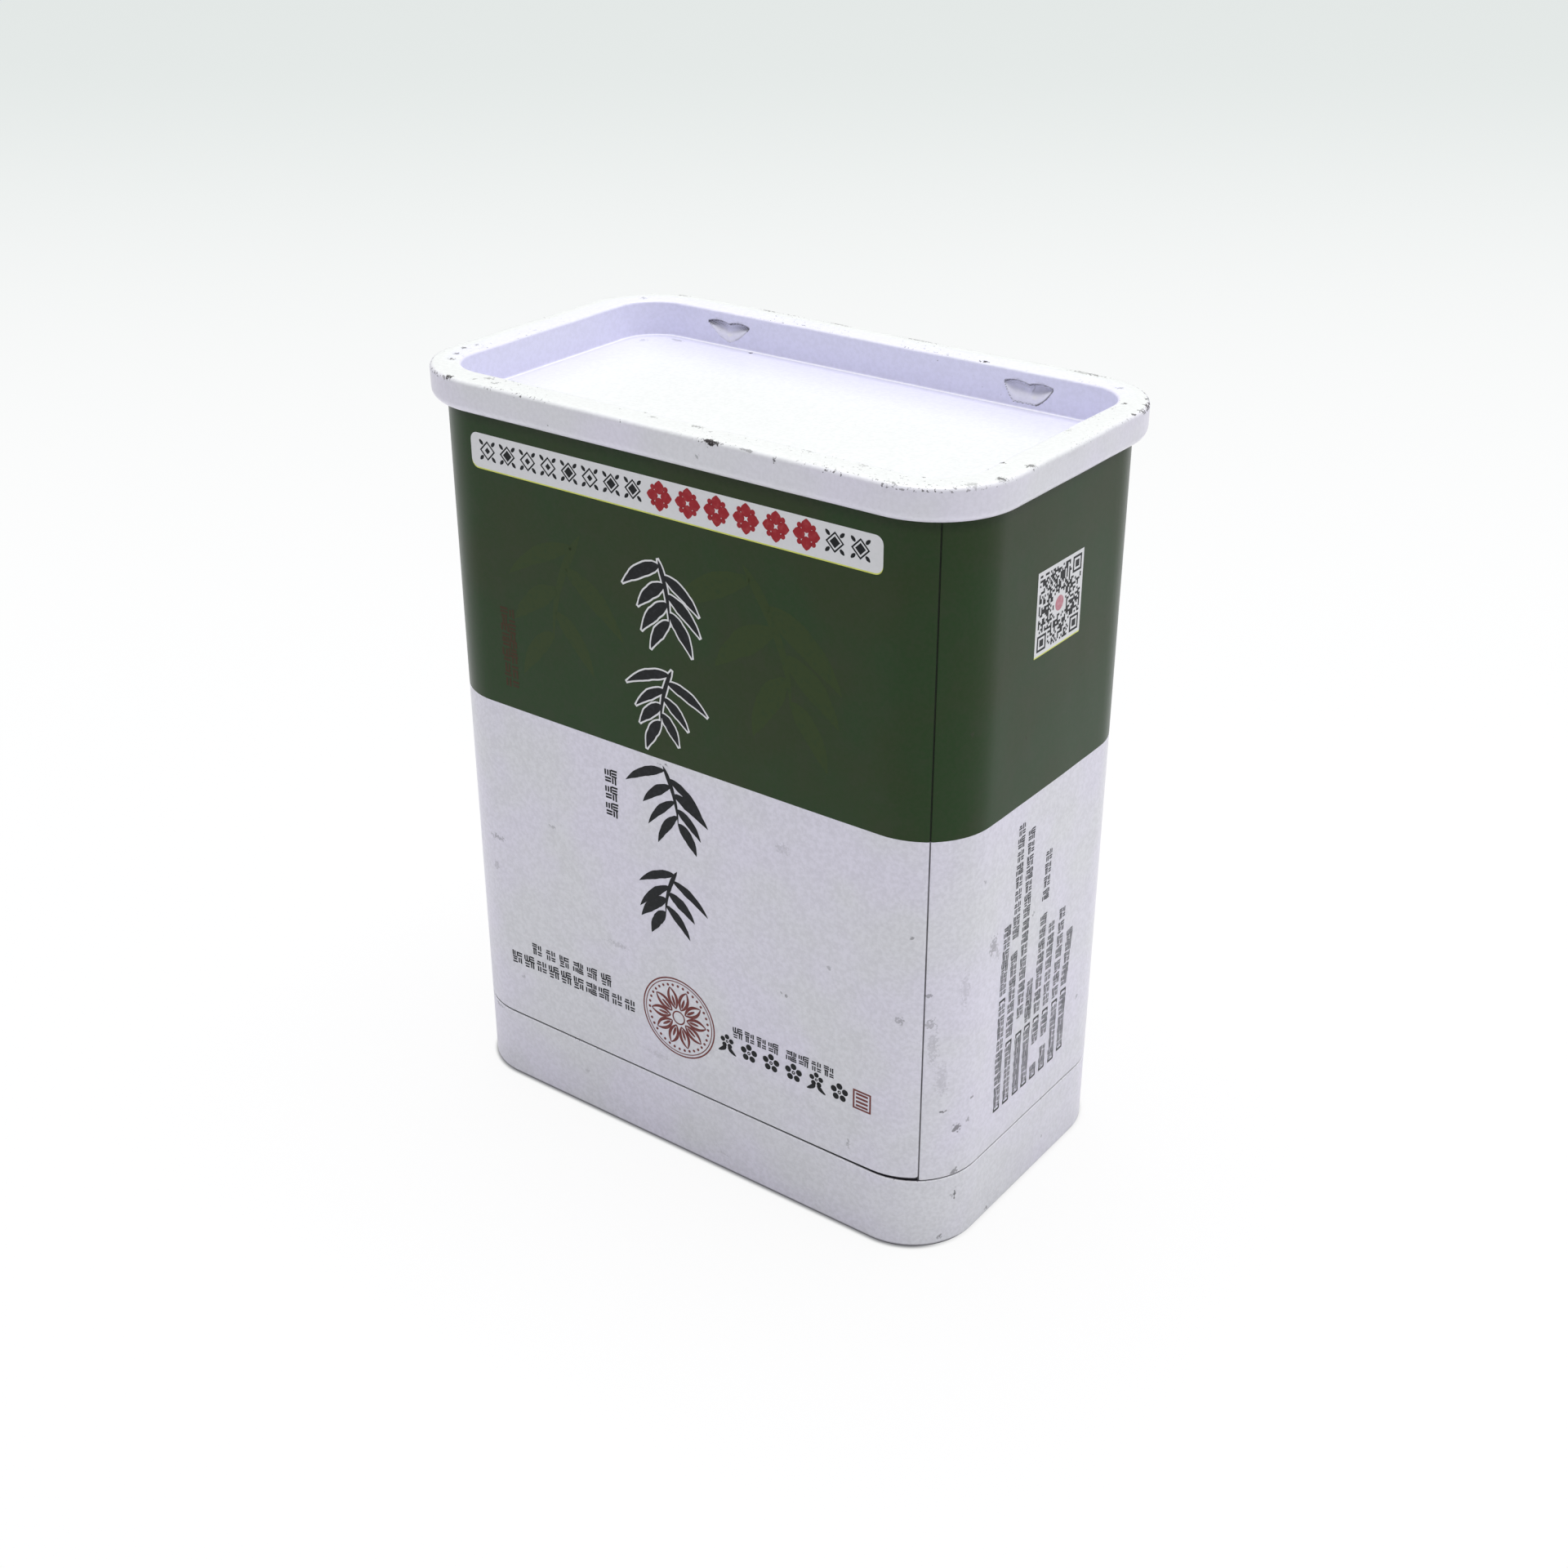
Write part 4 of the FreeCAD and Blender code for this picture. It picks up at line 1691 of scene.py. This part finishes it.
# ---- printed design ----
@dataclass(frozen=True)
class Sprig:
    """A brushed sprig that hangs down, as the tin stands on its lid: where and how it grows."""

    middle: Pair
    size: Pair
    lean: float
    leaves: int
    outlined: bool
    seed: int

    def strokes(self) -> list[tuple[list[Pair], float, float]]:
        """The sprig's strokes.

        Returns:
            For each stroke its start, bend and end, its width, and where it is widest.
        """
        random = np.random.default_rng(self.seed)
        wide, tall = self.size
        top = np.array([self.middle[0] - self.lean * 0.5, self.middle[1] + tall / 2])
        foot = np.array([self.middle[0] + self.lean * 0.5, self.middle[1] - tall * 0.14])
        bend = (top + foot) / 2 + np.array([self.lean * 0.5, 0.0])
        strokes = [([tuple(top), tuple(bend), tuple(foot)], wide * 0.05, 0.2)]
        for number in range(self.leaves):
            share = (number + 0.6) / self.leaves
            root = (1 - share) ** 2 * top + 2 * share * (1 - share) * bend + share ** 2 * foot
            side = 1 if number % 2 else -1
            angle = radians(-90 + side * (70 - 42 * share) + random.uniform(-8, 8))
            length = wide * (0.60 - 0.18 * share) * random.uniform(0.80, 1.08)
            tip = root + length * np.array([cos(angle), sin(angle)])
            sag = np.array([-sin(angle), cos(angle)]) * side * length * 0.13
            strokes.append(([tuple(root), tuple((root + tip) / 2 + sag), tuple(tip)],
                            wide * random.uniform(0.095, 0.13), 0.40))
        return strokes


@dataclass(frozen=True)
class MarkRow:
    """A row of greeked marks: first mark, last mark, how many, their size and how many stay."""

    start: Pair
    end: Pair
    count: int
    size: float
    motif: Motif = Motif.WEAVE
    keep: float = 1.0


@dataclass
class Printing:
    """The printed design of one face, in generic ornament and greeked rows."""

    face: Face
    body: TinBody
    repeater: Repeater
    motifs: MotifBook
    inks: dict[str, Material]
    label: tuple[Pair, Pair] = ((-36.2, 106.8), (35.5, 112.0))
    label_radius: float = 1.25
    label_rise: float = 0.15
    lozenges: tuple[Run, ...] = ((-33.0, -5.8, 8), (28.0, 32.0, 2))
    flowers: tuple[Run, ...] = ((-1.1, 23.5, 6),)
    fringe: float = 0.20
    outline: float = 0.26
    emblem: Pair = (-0.3, 25.2)
    hoops: tuple[Run, ...] = ((6.80, 7.05, 72), (6.36, 6.52, 72), (1.0, 1.25, 32))
    wreaths: tuple[tuple[Motif, float, int, float], ...] = (
        (Motif.BEAD, 5.75, 36, 0.48), (Motif.PETAL, 3.35, 10, 3.6))
    seal: tuple[Pair, Pair] = ((32.3, 22.6), (35.5, 26.0))
    seal_wall: float = 0.3
    seal_step: float = 0.68
    seal_bar: Pair = (2.1, 0.36)
    code_middle: Pair = (-0.1, 97.1)
    code_side: float = 12.2
    code_margin: float = 1.1
    code_radius: float = 0.05
    code_columns: int = 12
    code_modules: int = 33
    code_keep: float = 0.52
    spot_radius: float = 1.1
    sprigs: tuple[Sprig, ...] = (
        Sprig((-0.8, 92.9), (14.4, 14.6), 1.8, 7, True, 4),
        Sprig((-0.9, 76.9), (13.6, 14.0), -2.2, 7, True, 8),
        Sprig((-0.6, 61.2), (14.0, 14.3), 2.6, 8, False, 15),
        Sprig((-1.0, 44.9), (14.4, 12.8), -2.4, 7, False, 16),
    )
    ghosts: tuple[Sprig, ...] = (
        Sprig((17.0, 88.0), (30.0, 30.0), 8.0, 6, False, 21),
        Sprig((-19.0, 86.5), (26.0, 28.0), -6.0, 5, False, 23),
    )
    front_rows: tuple[MarkRow, ...] = (
        MarkRow((-34.1, 23.6), (-10.2, 23.6), 10, 2.2, keep=0.97),
        MarkRow((-29.6, 26.5), (-14.9, 26.5), 6, 2.1, keep=0.97),
        MarkRow((11.2, 27.0), (17.9, 27.0), 4, 1.85),
        MarkRow((21.2, 27.0), (28.0, 27.0), 4, 1.85),
    )
    bold_rows: tuple[MarkRow, ...] = (
        MarkRow((-12.0, 63.4), (-12.0, 57.8), 3, 2.4),
        MarkRow((9.1, 24.2), (29.9, 24.2), 6, 3.4, Motif.BLOSSOM),
    )
    dim_rows: tuple[MarkRow, ...] = (MarkRow((-31.1, 84.2), (-31.1, 74.2), 5, 3.0),)
    column_pitch: float = 2.1
    column_mark: float = 1.85
    column_breaks: Pair = (19.8, 11.2)
    bracket: Pair = (1.7, 0.36)
    bracket_end: Pair = (0.3, 0.6)
    side_columns: tuple[tuple[Pair, Pair], ...] = (
        ((-9.5, 18.2), (-9.1, 49.6)), ((-6.9, 18.2), (-6.5, 65.0)), ((-4.1, 18.2), (-3.7, 63.0)),
        ((-1.6, 18.2), (-1.5, 36.6)), ((1.0, 18.2), (1.7, 57.2)), ((3.7, 18.2), (4.0, 43.9)),
        ((6.5, 18.2), (7.1, 44.8)), ((9.1, 18.9), (9.9, 39.8)))

    def put(self, name: str, art: Artwork, ink: str) -> None:
        """Lay one ink's artwork on the face as a piece of its own."""
        name = f"{self.face.tag}_{name}"
        place_piece(name, art.mesh(name, self.body, self.face, self.inks[ink]))

    def rows(self, rows: Iterable[MarkRow], seed: int, lift: float = Lift.PLAIN) -> Artwork:
        """Set rows of marks.

        Args:
            rows: The rows.
            seed: Which random picks.
            lift: How far the marks stand off the skin, in mm.

        Returns:
            All the marks as one artwork.
        """
        whole = Artwork()
        for number, row in enumerate(rows):
            steps = max(row.count - 1, 1)
            step = [(b - a) / steps for a, b in zip(row.start, row.end)]
            whole.add(self.repeater.run(Repeat.ROW, {
                "Start": (*row.start, lift), "Step": (*step, 0.0), "Count": row.count,
                "Keep": row.keep, "Motifs": self.motifs.shelves[row.motif], "Size": row.size,
                "Seed": seed + number}))
        return whole

    def print_label(self) -> None:
        """Print the pale bar with its ornament and its yellow fringe."""
        (left, low), (right, high) = self.label
        fringe, bar = Artwork(lift=Lift.UNDER), Artwork(lift=Lift.OVER)
        fringe.rounded((left, low - self.fringe), (right, high - 1), self.label_radius)
        bar.rounded((left, low), (right, high), self.label_radius)
        self.put("label_fringe", fringe, "yellow")
        self.put("label_bar", bar, "pale")
        middle = (low + high) / 2 + self.label_rise
        for name, motif, size, marks, ink, seed in (
                ("lozenges", Motif.LOZENGE, 3.2, self.lozenges, "black", 30),
                ("flowers", Motif.FLOWER, 3.9, self.flowers, "red", 40)):
            rows = [MarkRow((first, middle), (last, middle), count, size, motif)
                    for first, last, count in marks]
            self.put(f"label_{name}", self.rows(rows, seed, Lift.TOP), ink)

    def print_sprigs(self) -> None:
        """Brush the four sprigs down the panel, the upper two outlined, and two faint ones behind."""
        faint, halo, black = Artwork(lift=Lift.FAINT), Artwork(), Artwork()
        for sprig in self.ghosts:
            for number, (way, width, peak) in enumerate(sprig.strokes()):
                faint.brush(way, width, sprig.seed + number, peak=peak)
        for sprig in self.sprigs:
            for number, (way, width, peak) in enumerate(sprig.strokes()):
                halo.lift = Lift.UNDER + number * Lift.STEP
                black.lift = Lift.OVER + number * Lift.STEP
                black.brush(way, width, sprig.seed + number, peak=peak)
                if sprig.outlined:
                    halo.brush(way, width, sprig.seed + number, self.outline, peak)
        self.put("faint_sprigs", faint, "faint")
        self.put("sprig_outlines", halo, "pale")
        self.put("sprigs", black, "black")

    def print_emblem(self) -> None:
        """Print the ringed rosette and the small red square."""
        art = Artwork()
        for inner, outer, sides in self.hoops:
            art.hoop(self.emblem, inner, outer, sides)
        for motif, radius, count, size in self.wreaths:
            art.add(self.repeater.run(Repeat.WREATH, {
                "Centre": (*self.emblem, Lift.PLAIN), "Radius": radius, "Count": count,
                "Size": size, "Motifs": self.motifs.shelves[motif]}))
        self.put("rosette", art, "russet")
        seal, wall = Artwork(), self.seal_wall
        (x0, z0), (x1, z1) = self.seal
        middle = ((x0 + x1) / 2, (z0 + z1) / 2)
        for z in (z0 + wall / 2, z1 - wall / 2):
            seal.bar((middle[0], z), (x1 - x0, wall))
        for x in (x0 + wall / 2, x1 - wall / 2):
            seal.bar((x, middle[1]), (wall, z1 - z0 - 2 * wall))
        for number in range(4):
            seal.bar((middle[0], z0 + self.seal_step + number * self.seal_step), self.seal_bar)
        self.put("seal", seal, "russet")

    def print_wide(self) -> None:
        """Print a wide panel: label, sprigs, rosette, seal and greeked rows."""
        self.print_label()
        self.print_sprigs()
        self.print_emblem()
        self.put("rows", self.rows(self.front_rows, 50), "grey")
        self.put("bold_rows", self.rows(self.bold_rows, 56), "black")
        self.put("dim_column", self.rows(self.dim_rows, 60), "dim")

    def print_columns(self) -> None:
        """Print a narrow panel's greeked columns, each with two brackets round its first part."""
        rows, feet = [], Artwork()
        for number, (low, high) in enumerate(self.side_columns):
            middle = low[1] + self.column_breaks[min(number, 1)]
            for start, end, across in ((low[1] + 1.8, middle - 1.6, low[0]),
                                       (middle + 1.8, high[1], high[0])):
                count = round((end - start) / self.column_pitch) + 1
                rows.append(MarkRow((low[0], start), (across, end), count, self.column_mark,
                                    keep=0.95))
            for up, way in ((low[1] + 0.4, 1), (middle, -1)):
                feet.bar((low[0], up), self.bracket)
                for x in (-0.7, 0.7):
                    feet.bar((low[0] + x, up + 0.3 * way), self.bracket_end)
        self.put("columns", self.rows(rows, 70), "side")
        self.put("column_feet", feet, "black")

    def print_code(self) -> None:
        """Print the chequered square: pale ground, random modules, corners and middle."""
        middle, half = self.code_middle, self.code_side / 2
        left, right = middle[0] - half, middle[0] + half
        fringe, ground = Artwork(lift=Lift.UNDER), Artwork(lift=Lift.OVER)
        fringe.rounded((left, middle[1] - half - self.fringe), (right, middle[1]),
                       self.code_radius, self.code_columns)
        ground.rounded((left, middle[1] - half), (right, middle[1] + half),
                       self.code_radius, self.code_columns)
        self.put("code_fringe", fringe, "yellow")
        self.put("code_ground", ground, "pale")
        inner = self.code_side - self.code_margin
        module = inner / self.code_modules
        code = self.repeater.run(Repeat.MODULES, {
            "Centre": (*middle, Lift.TOP), "Side": inner, "Count": self.code_modules,
            "Keep": self.code_keep, "Corner": module * 7.6, "Clear": module * 4.4, "Seed": 5})
        corners, spot = Artwork(lift=Lift.TOP), Artwork(lift=Lift.TOP)
        reach = inner / 2 - module * 3.5
        for x, z in ((1, 1), (-1, -1), (1, -1)):
            at = (middle[0] + x * reach, middle[1] + z * reach)
            outside, inside = [[(at[0] + a * r, at[1] + b * r)
                                for a, b in ((1, -1), (1, 1), (-1, 1), (-1, -1))]
                               for r in (module * 3.5, module * 2.5)]
            corners.strip(outside, inside, closed=True)
            corners.bar(at, (module * 3, module * 3))
        code.add(corners)
        self.put("code_modules", code, "black")
        spot.disc(middle, self.spot_radius)
        self.put("code_spot", spot, "rose")


# ---- studio ----
@dataclass(frozen=True)
class Lamp:
    """A soft rectangular lamp that faces the tin's middle."""

    name: str
    place: Triple
    size: Pair
    power: float
    aim: Triple = (0.0, 0.0, 0.06)

    def build(self) -> None:
        """Hang the lamp."""
        light = bpy.data.lights.new(self.name, "AREA")
        light.shape = "RECTANGLE"
        light.size, light.size_y = self.size
        light.energy = self.power
        lamp = bpy.data.objects.new(self.name, light)
        lamp.location = self.place
        way = Vector(self.aim) - Vector(self.place)
        lamp.rotation_euler = way.to_track_quat("-Z", "Y").to_euler()
        bpy.context.scene.collection.objects.link(lamp)


@dataclass
class Studio:
    """Floor, world, lamps and camera."""

    sizes: TinSizes
    eye: Triple = (0.17238, -0.23214, 0.20628)
    yaw: float = 2.20817
    pitch: float = -0.48236
    roll: float = -0.00088
    lens: float = 47.994
    sensor: float = 36.0
    floor_half: float = 6.0
    floor_drop: float = 1e-5
    floor_tint: Colour = (0.82, 0.82, 0.83)
    sky_tint: Colour = (0.96, 0.97, 1.0)
    sky_strength: float = 0.40
    far_tint: Colour = shade(231, 236, 234)
    # Painted contact shadow round the tin's foot, weaker on the lit side.
    contact_tint: Colour = shade(112, 113, 118)
    contact_reach: float = 0.9
    contact_share: float = 0.85
    lit_share: float = 0.85
    lit_band: float = 5.0
    glow_share: float = 0.9
    mirror_share: float = 0.2
    lamps: tuple[Lamp, ...] = (
        Lamp("lamp_over", (0.0, 0.1, 1.4), (0.9, 0.9), 18.8),
        Lamp("lamp_right", (1.1, 0.3, 0.45), (0.8, 0.8), 1.75),
        Lamp("lamp_front", (-0.3, -1.1, 0.6), (0.9, 0.9), 0.3),
    )

    def floor(self) -> None:
        """Lay the pale floor, near white to the eye, with the tin's faint shadow and a painted contact
        shadow.
        """
        h, z = self.floor_half, -self.floor_drop
        mesh = bpy.data.meshes.new("floor")
        mesh.from_pydata([(-h, -h, z), (h, -h, z), (h, h, z), (-h, h, z)], [], [(0, 1, 2, 3)])
        material, graph = new_material("pale_floor")
        place = graph.place()
        far = graph.node("ShaderNodeVectorMath", {"operation": "DOT_PRODUCT"},
                         {0: place, 1: (-0.60, 0.80, 0.0)}, "Value")
        tint = graph.blend(far.rise(0.05, 1.1), (1.0, 1.0, 1.0), self.far_tint)
        # Painted contact shadow round the foot.
        tint = graph.blend(self.contact(graph, place), tint, self.contact_tint)
        lit = graph.node("ShaderNodeBsdfDiffuse", {}, {"Color": (*self.floor_tint, 1.0)})
        glow = graph.node("ShaderNodeEmission", {}, {"Color": tint, "Strength": 1.0})
        path = graph.node("ShaderNodeLightPath")
        seen = path.other("Is Camera Ray") * self.glow_share
        shine = path.other("Is Glossy Ray").either(path.other("Is Transmission Ray"))
        share = seen.either(shine * self.mirror_share)
        surface = graph.node("ShaderNodeMixShader", {}, {0: share, 1: lit, 2: glow})
        graph.node("ShaderNodeOutputMaterial", {}, {"Surface": surface})
        mesh.materials.append(material)
        floor = bpy.data.objects.new("floor", mesh)
        bpy.context.scene.collection.objects.link(floor)

    def contact(self, graph: Graph, place: Wire) -> Wire:
        """Find how near the floor lies to the tin's foot, for the painted contact shadow.

        Args:
            graph: The floor material's graph.
            place: Object coordinates.

        Returns:
            1 at the foot, 0 from the contact shade's edge on.
        """
        plan = self.sizes.plan
        part = graph.split(place)
        beyond = [graph.sum("ABSOLUTE", part[axis], 0.0) - (half - plan.corner) * MM
                  for axis, half in (("X", plan.width / 2), ("Y", plan.depth / 2))]
        across, back = [side.either(0.0) for side in beyond]
        away = graph.sum("POWER", across * across + back * back, 0.5) - plan.corner * MM
        near = 1 - away.rise(-0.2 * MM, self.contact_reach * MM)
        lit = part["X"].rise((plan.width / 2 - self.lit_band) * MM, plan.width / 2 * MM)
        return near * near * (1 - lit * self.lit_share) * self.contact_share

    def world(self) -> None:
        """Set a plain soft sky whose seen colour carries on the floor's."""
        world = bpy.data.worlds.new("studio")
        world.use_nodes = True
        graph = Graph(world.node_tree)
        seen = graph.node("ShaderNodeBackground", {}, {"Color": (*self.far_tint, 1.0)})
        light = graph.node("ShaderNodeBackground", {}, {"Color": (*self.sky_tint, 1.0),
                                                        "Strength": self.sky_strength})
        path = graph.node("ShaderNodeLightPath")
        direct = path.other("Is Camera Ray").either(path.other("Is Transmission Ray"))
        mixed = graph.node("ShaderNodeMixShader", {}, {0: direct, 1: light, 2: seen})
        graph.node("ShaderNodeOutputWorld", {}, {"Surface": mixed})
        bpy.context.scene.world = world

    def camera(self) -> None:
        """Set the camera where the tin is seen from above its front right corner."""
        ahead = Vector((cos(self.yaw) * cos(self.pitch),
                        sin(self.yaw) * cos(self.pitch), sin(self.pitch)))
        right = ahead.cross(Vector((0, 0, 1))).normalized()
        up = right.cross(ahead)
        c, s = cos(self.roll), sin(self.roll)
        right, up = c * right + s * up, c * up - s * right
        turned = Matrix((right, up, -ahead)).transposed().to_4x4()
        data = bpy.data.cameras.new("camera")
        data.sensor_width = self.sensor
        data.lens = self.lens
        data.clip_start = 0.01
        camera = bpy.data.objects.new("camera", data)
        camera.matrix_world = Matrix.Translation(self.eye) @ turned
        bpy.context.scene.collection.objects.link(camera)
        bpy.context.scene.camera = camera

    def build(self) -> None:
        """Set up the whole studio."""
        bpy.context.scene.view_settings.view_transform = "Standard"
        self.floor()
        self.world()
        for lamp in self.lamps:
            lamp.build()
        self.camera()


# ---- finishes of this tin ----
WHITE = shade(230, 227, 240)
WHITE_SHADE = shade(227, 227, 232)
GREEN = shade(36, 62, 28)
GREEN_SHADE = shade(43, 59, 27)
SOIL = shade(74, 71, 74)

BODY_SOILS = soils(
    (44.8, -21.5, 24.5, 0.6, 0.8, 0.45), (45.9, -19.3, 20.8, 0.9, 0.7),
    (46.6, -17.2, 21.4, 0.5, 0.5), (46.7, -16.6, 25, 0.45, 0.6, 0.5),
    (45.9, -19.4, 13, 0.8, 0.6, 0.7), (43, -23.4, 44.8, 0.6, 0.5), (39.6, -25.5, 40.3, 0.8, 0.4),
    (43.3, -23.2, 40, 1, 0.35), (43.6, -22.9, 36, 0.9, 0.2, 4), (44.6, -21.8, 30, 1.1, 0.16, 3),
    (46.7, 13.8, 26.4, 0.5, 0.4), (-36.7, -26.1, 45, 0.9, 0.4, 0.6, 2),
    (46.7, -12.7, 49, 1.3, 0.42, 1.3), (46.1, -18.9, 44.6, 0.9, 0.15, 3.5),
    (46.7, -1.8, 48.9, 0.5, 0.4), (46.7, -15.8, 60.8, 0.45, 0.35), (40.8, -25, 54.1, 0.35, 0.55),
    (46.7, -11.6, 47.2, 0.8, 0.22, 1.6), (19.5, -26.1, 61.7, 1.4, 0.18, 0.7),
    (20.2, -26.1, 37.3, 0.35, 0.6), (19.4, -26.1, 37.5, 0.25, 0.5), (27.8, -26.1, 45, 0.5, 0.35),
    (31.6, -26.1, 15.8, 0.35, 0.4, 3), (-33, -26.1, 20, 0.5, 0.3),
    (-24.7, -26.1, 50.8, 0.5, 0.3, 0.6, 2), (-12, -26.1, 34, 0.9, 0.2, 0.6, 2.5),
    (-37.5, -26.1, 39.5, 0.8, 0.25), (-5, -26.1, 16.5, 1, 0.14, 0.6, 3),
    (-1.2, -26.1, 68.6, 0.3, 0.7), (-2.4, -26.1, 68.4, 0.3, 0.4, 0.6, 2),
)
GREEN_SOILS = soils(
    (45.8, -19.7, 84.7, 0.4, 0.5), (46.7, -7, 79.5, 0.35, 0.6), (46.7, 7.5, 83.6, 0.3, 0.5),
    (-39.8, -25.7, 88, 0.5, 0.3, 2),
)
LID_SOILS = soils(
    (46.05, -19.1, 8.6, 0.25, 0.85, 4.5), (45.9, -19.5, 8.6, 0.5, 0.3), (45, -21.2, 1.5, 0.45, 0.6),
    (46.7, -10.8, 0.8, 0.5, 0.6), (46.7, 5.5, 4.6, 0.4, 0.3), (-20, -26.1, 7, 0.5, 0.2),
    (-40, -25.4, 11.6, 1.3, 0.4, 0.35, 1.4), (8, -26.1, 3, 0.6, 0.16, 0.5, 2),
)
BASE_SOILS = soils(
    (-38.4, -27.6, 119.9, 0.7, 0.95, 0.5, 1.6), (-42, -26.8, 119.8, 0.5, 0.85, 0.6),
    (-44.2, -21, 120, 0.65, 0.75), (-45.5, -18.6, 120, 0.6, 0.7), (-46.7, -15.9, 120, 0.6, 0.75),
    (-46.4, -13.4, 120, 0.5, 0.5), (-33, -24.7, 120, 0.7, 0.5, 1, 1.6),
    (-34.5, -26.3, 120, 0.45, 0.5), (-30.6, -26.1, 120, 0.5, 0.5, 1, 1.8),
    (-29.5, -23.6, 120, 0.4, 0.6), (-8.8, -24.7, 120, 0.35, 0.5),
    (-5.2, -23.5, 120, 0.5, 0.6, 1, 1.6), (-2.9, -24.7, 120, 0.45, 0.4, 1, 2),
    (-5.9, -28.2, 119.8, 0.3, 0.8), (9.4, -28.2, 119.7, 0.85, 1, 0.7, 1.9),
    (-19.1, -28.2, 116.5, 0.25, 0.7), (7.2, -28.2, 117.3, 0.4, 0.4),
    (19.8, -28.1, 119.6, 0.3, 0.9, 2), (15.5, -28.1, 119.8, 0.35, 0.5, 0.6, 4),
    (4.4, -24.3, 120, 0.6, 0.5, 1, 2.2), (7.1, -25, 120, 0.4, 0.45),
    (22.2, -23.6, 120, 0.45, 0.55, 1, 3), (30.7, -24.2, 120, 0.5, 0.3, 1, 2),
    (37.4, -27.5, 119.7, 0.6, 0.5, 0.6, 1.8), (40.6, -21.8, 120, 0.5, 0.9, 1, 1.3),
    (38.4, -22.7, 120, 0.4, 0.5, 1, 1.6), (43, -18.6, 120, 0.4, 0.55), (43.8, -16.2, 120, 0.5, 0.6),
    (44.4, -13, 120, 0.5, 0.85), (47.5, -18.4, 119.9, 0.8, 0.75), (47.9, -12.1, 119.9, 0.8, 0.7),
    (45.6, -22.4, 119.9, 0.9, 0.35), (44.8, 3.4, 120, 0.35, 0.6),
    (19.2, 24, 119.9, 0.5, 1, 0.6, 2.4), (45, 18.1, 120, 0.5, 0.9),
    (41.1, 23.9, 120, 0.5, 0.5, 1, 1.6), (46.6, 21.4, 119.9, 0.5, 0.8),
    (47.8, 19.2, 119.9, 0.5, 0.85), (48.3, 16.6, 119.9, 0.5, 0.85), (48.4, 14.6, 119.9, 0.5, 0.8),
    (-22.5, 27.7, 119.8, 0.5, 0.7, 1, 4), (-9, 27.6, 119.8, 0.45, 0.6, 1, 7),
    (5, 27.6, 119.8, 0.45, 0.55, 1, 8), (34.5, 27.2, 119.8, 0.5, 0.65, 1, 7),
    (-40.2, 27, 119.8, 0.5, 0.6, 1, 4), (-43.6, 22, 120, 0.6, 0.4), (-40.5, 18, 114.5, 0.8, 0.3),
    (-36, 21, 114.5, 0.6, 0.35, 1, 3), (-22.5, 22.3, 114.6, 0.45, 1),
)


def main() -> None:
    """Build the studio, the tin's three pieces and its print, from the sizes of the imported solids.
    """
    logging.basicConfig(level=logging.INFO, format="%(name)s: %(message)s")
    sizes = TinSizes.from_frame()
    Studio(sizes).build()
    body = TinBody(sizes)
    white_body = Enamel("white_enamel_body", WHITE, WHITE_SHADE, SOIL, BODY_SOILS).material()
    # The green's dark tint is painted shade in its seam and under the rim.
    green_body = Enamel("green_enamel_body", GREEN, GREEN_SHADE, shade(62, 62, 50),
                        GREEN_SOILS, gloss_level=0.17, crease_tint=shade(12, 17, 11),
                        mottle=0.22, speckle=0.16).material()
    body.build(green_body, white_body)
    SlipLid(sizes).build(Enamel("white_enamel_lid", WHITE, WHITE_SHADE, SOIL, LID_SOILS,
                                chips=0.5).material())
    # The base's bluish tint is painted shade in its recess.
    DrawnBase(sizes).build(Enamel("white_enamel_base", WHITE, WHITE_SHADE, shade(44, 40, 40),
                                  BASE_SOILS, chips=0.8, speckle=0.06,
                                  hollow_tint=shade(233, 232, 255)).material())
    inks = {ink.name: ink.material() for ink in (
        Ink("black", shade(26, 28, 30), shade(38, 40, 44)),
        Ink("grey", shade(36, 37, 42), shade(56, 57, 62)),
        Ink("side", shade(44, 46, 52), shade(74, 76, 82)),
        Ink("red", shade(160, 36, 44), shade(172, 62, 66)),
        Ink("russet", shade(116, 58, 56), shade(134, 84, 80)),
        Ink("rose", shade(196, 130, 142), shade(206, 160, 168)),
        Ink("dim", shade(64, 47, 26), shade(54, 53, 28)),
        Ink("faint", shade(48, 64, 26), shade(42, 62, 27), 0.17),
        Ink("pale", shade(228, 228, 230), shade(224, 225, 226), 0.30),
        Ink("yellow", shade(220, 226, 104), shade(208, 216, 116), 0.30))}
    repeater, motifs = Repeater(), MotifBook()
    front, right, back, left = [Printing(face, body, repeater, motifs, inks) for face in Face]
    front.print_wide()
    back.print_wide()
    right.print_code()
    right.print_columns()
    left.print_columns()


if __name__ == "__main__":
    main()
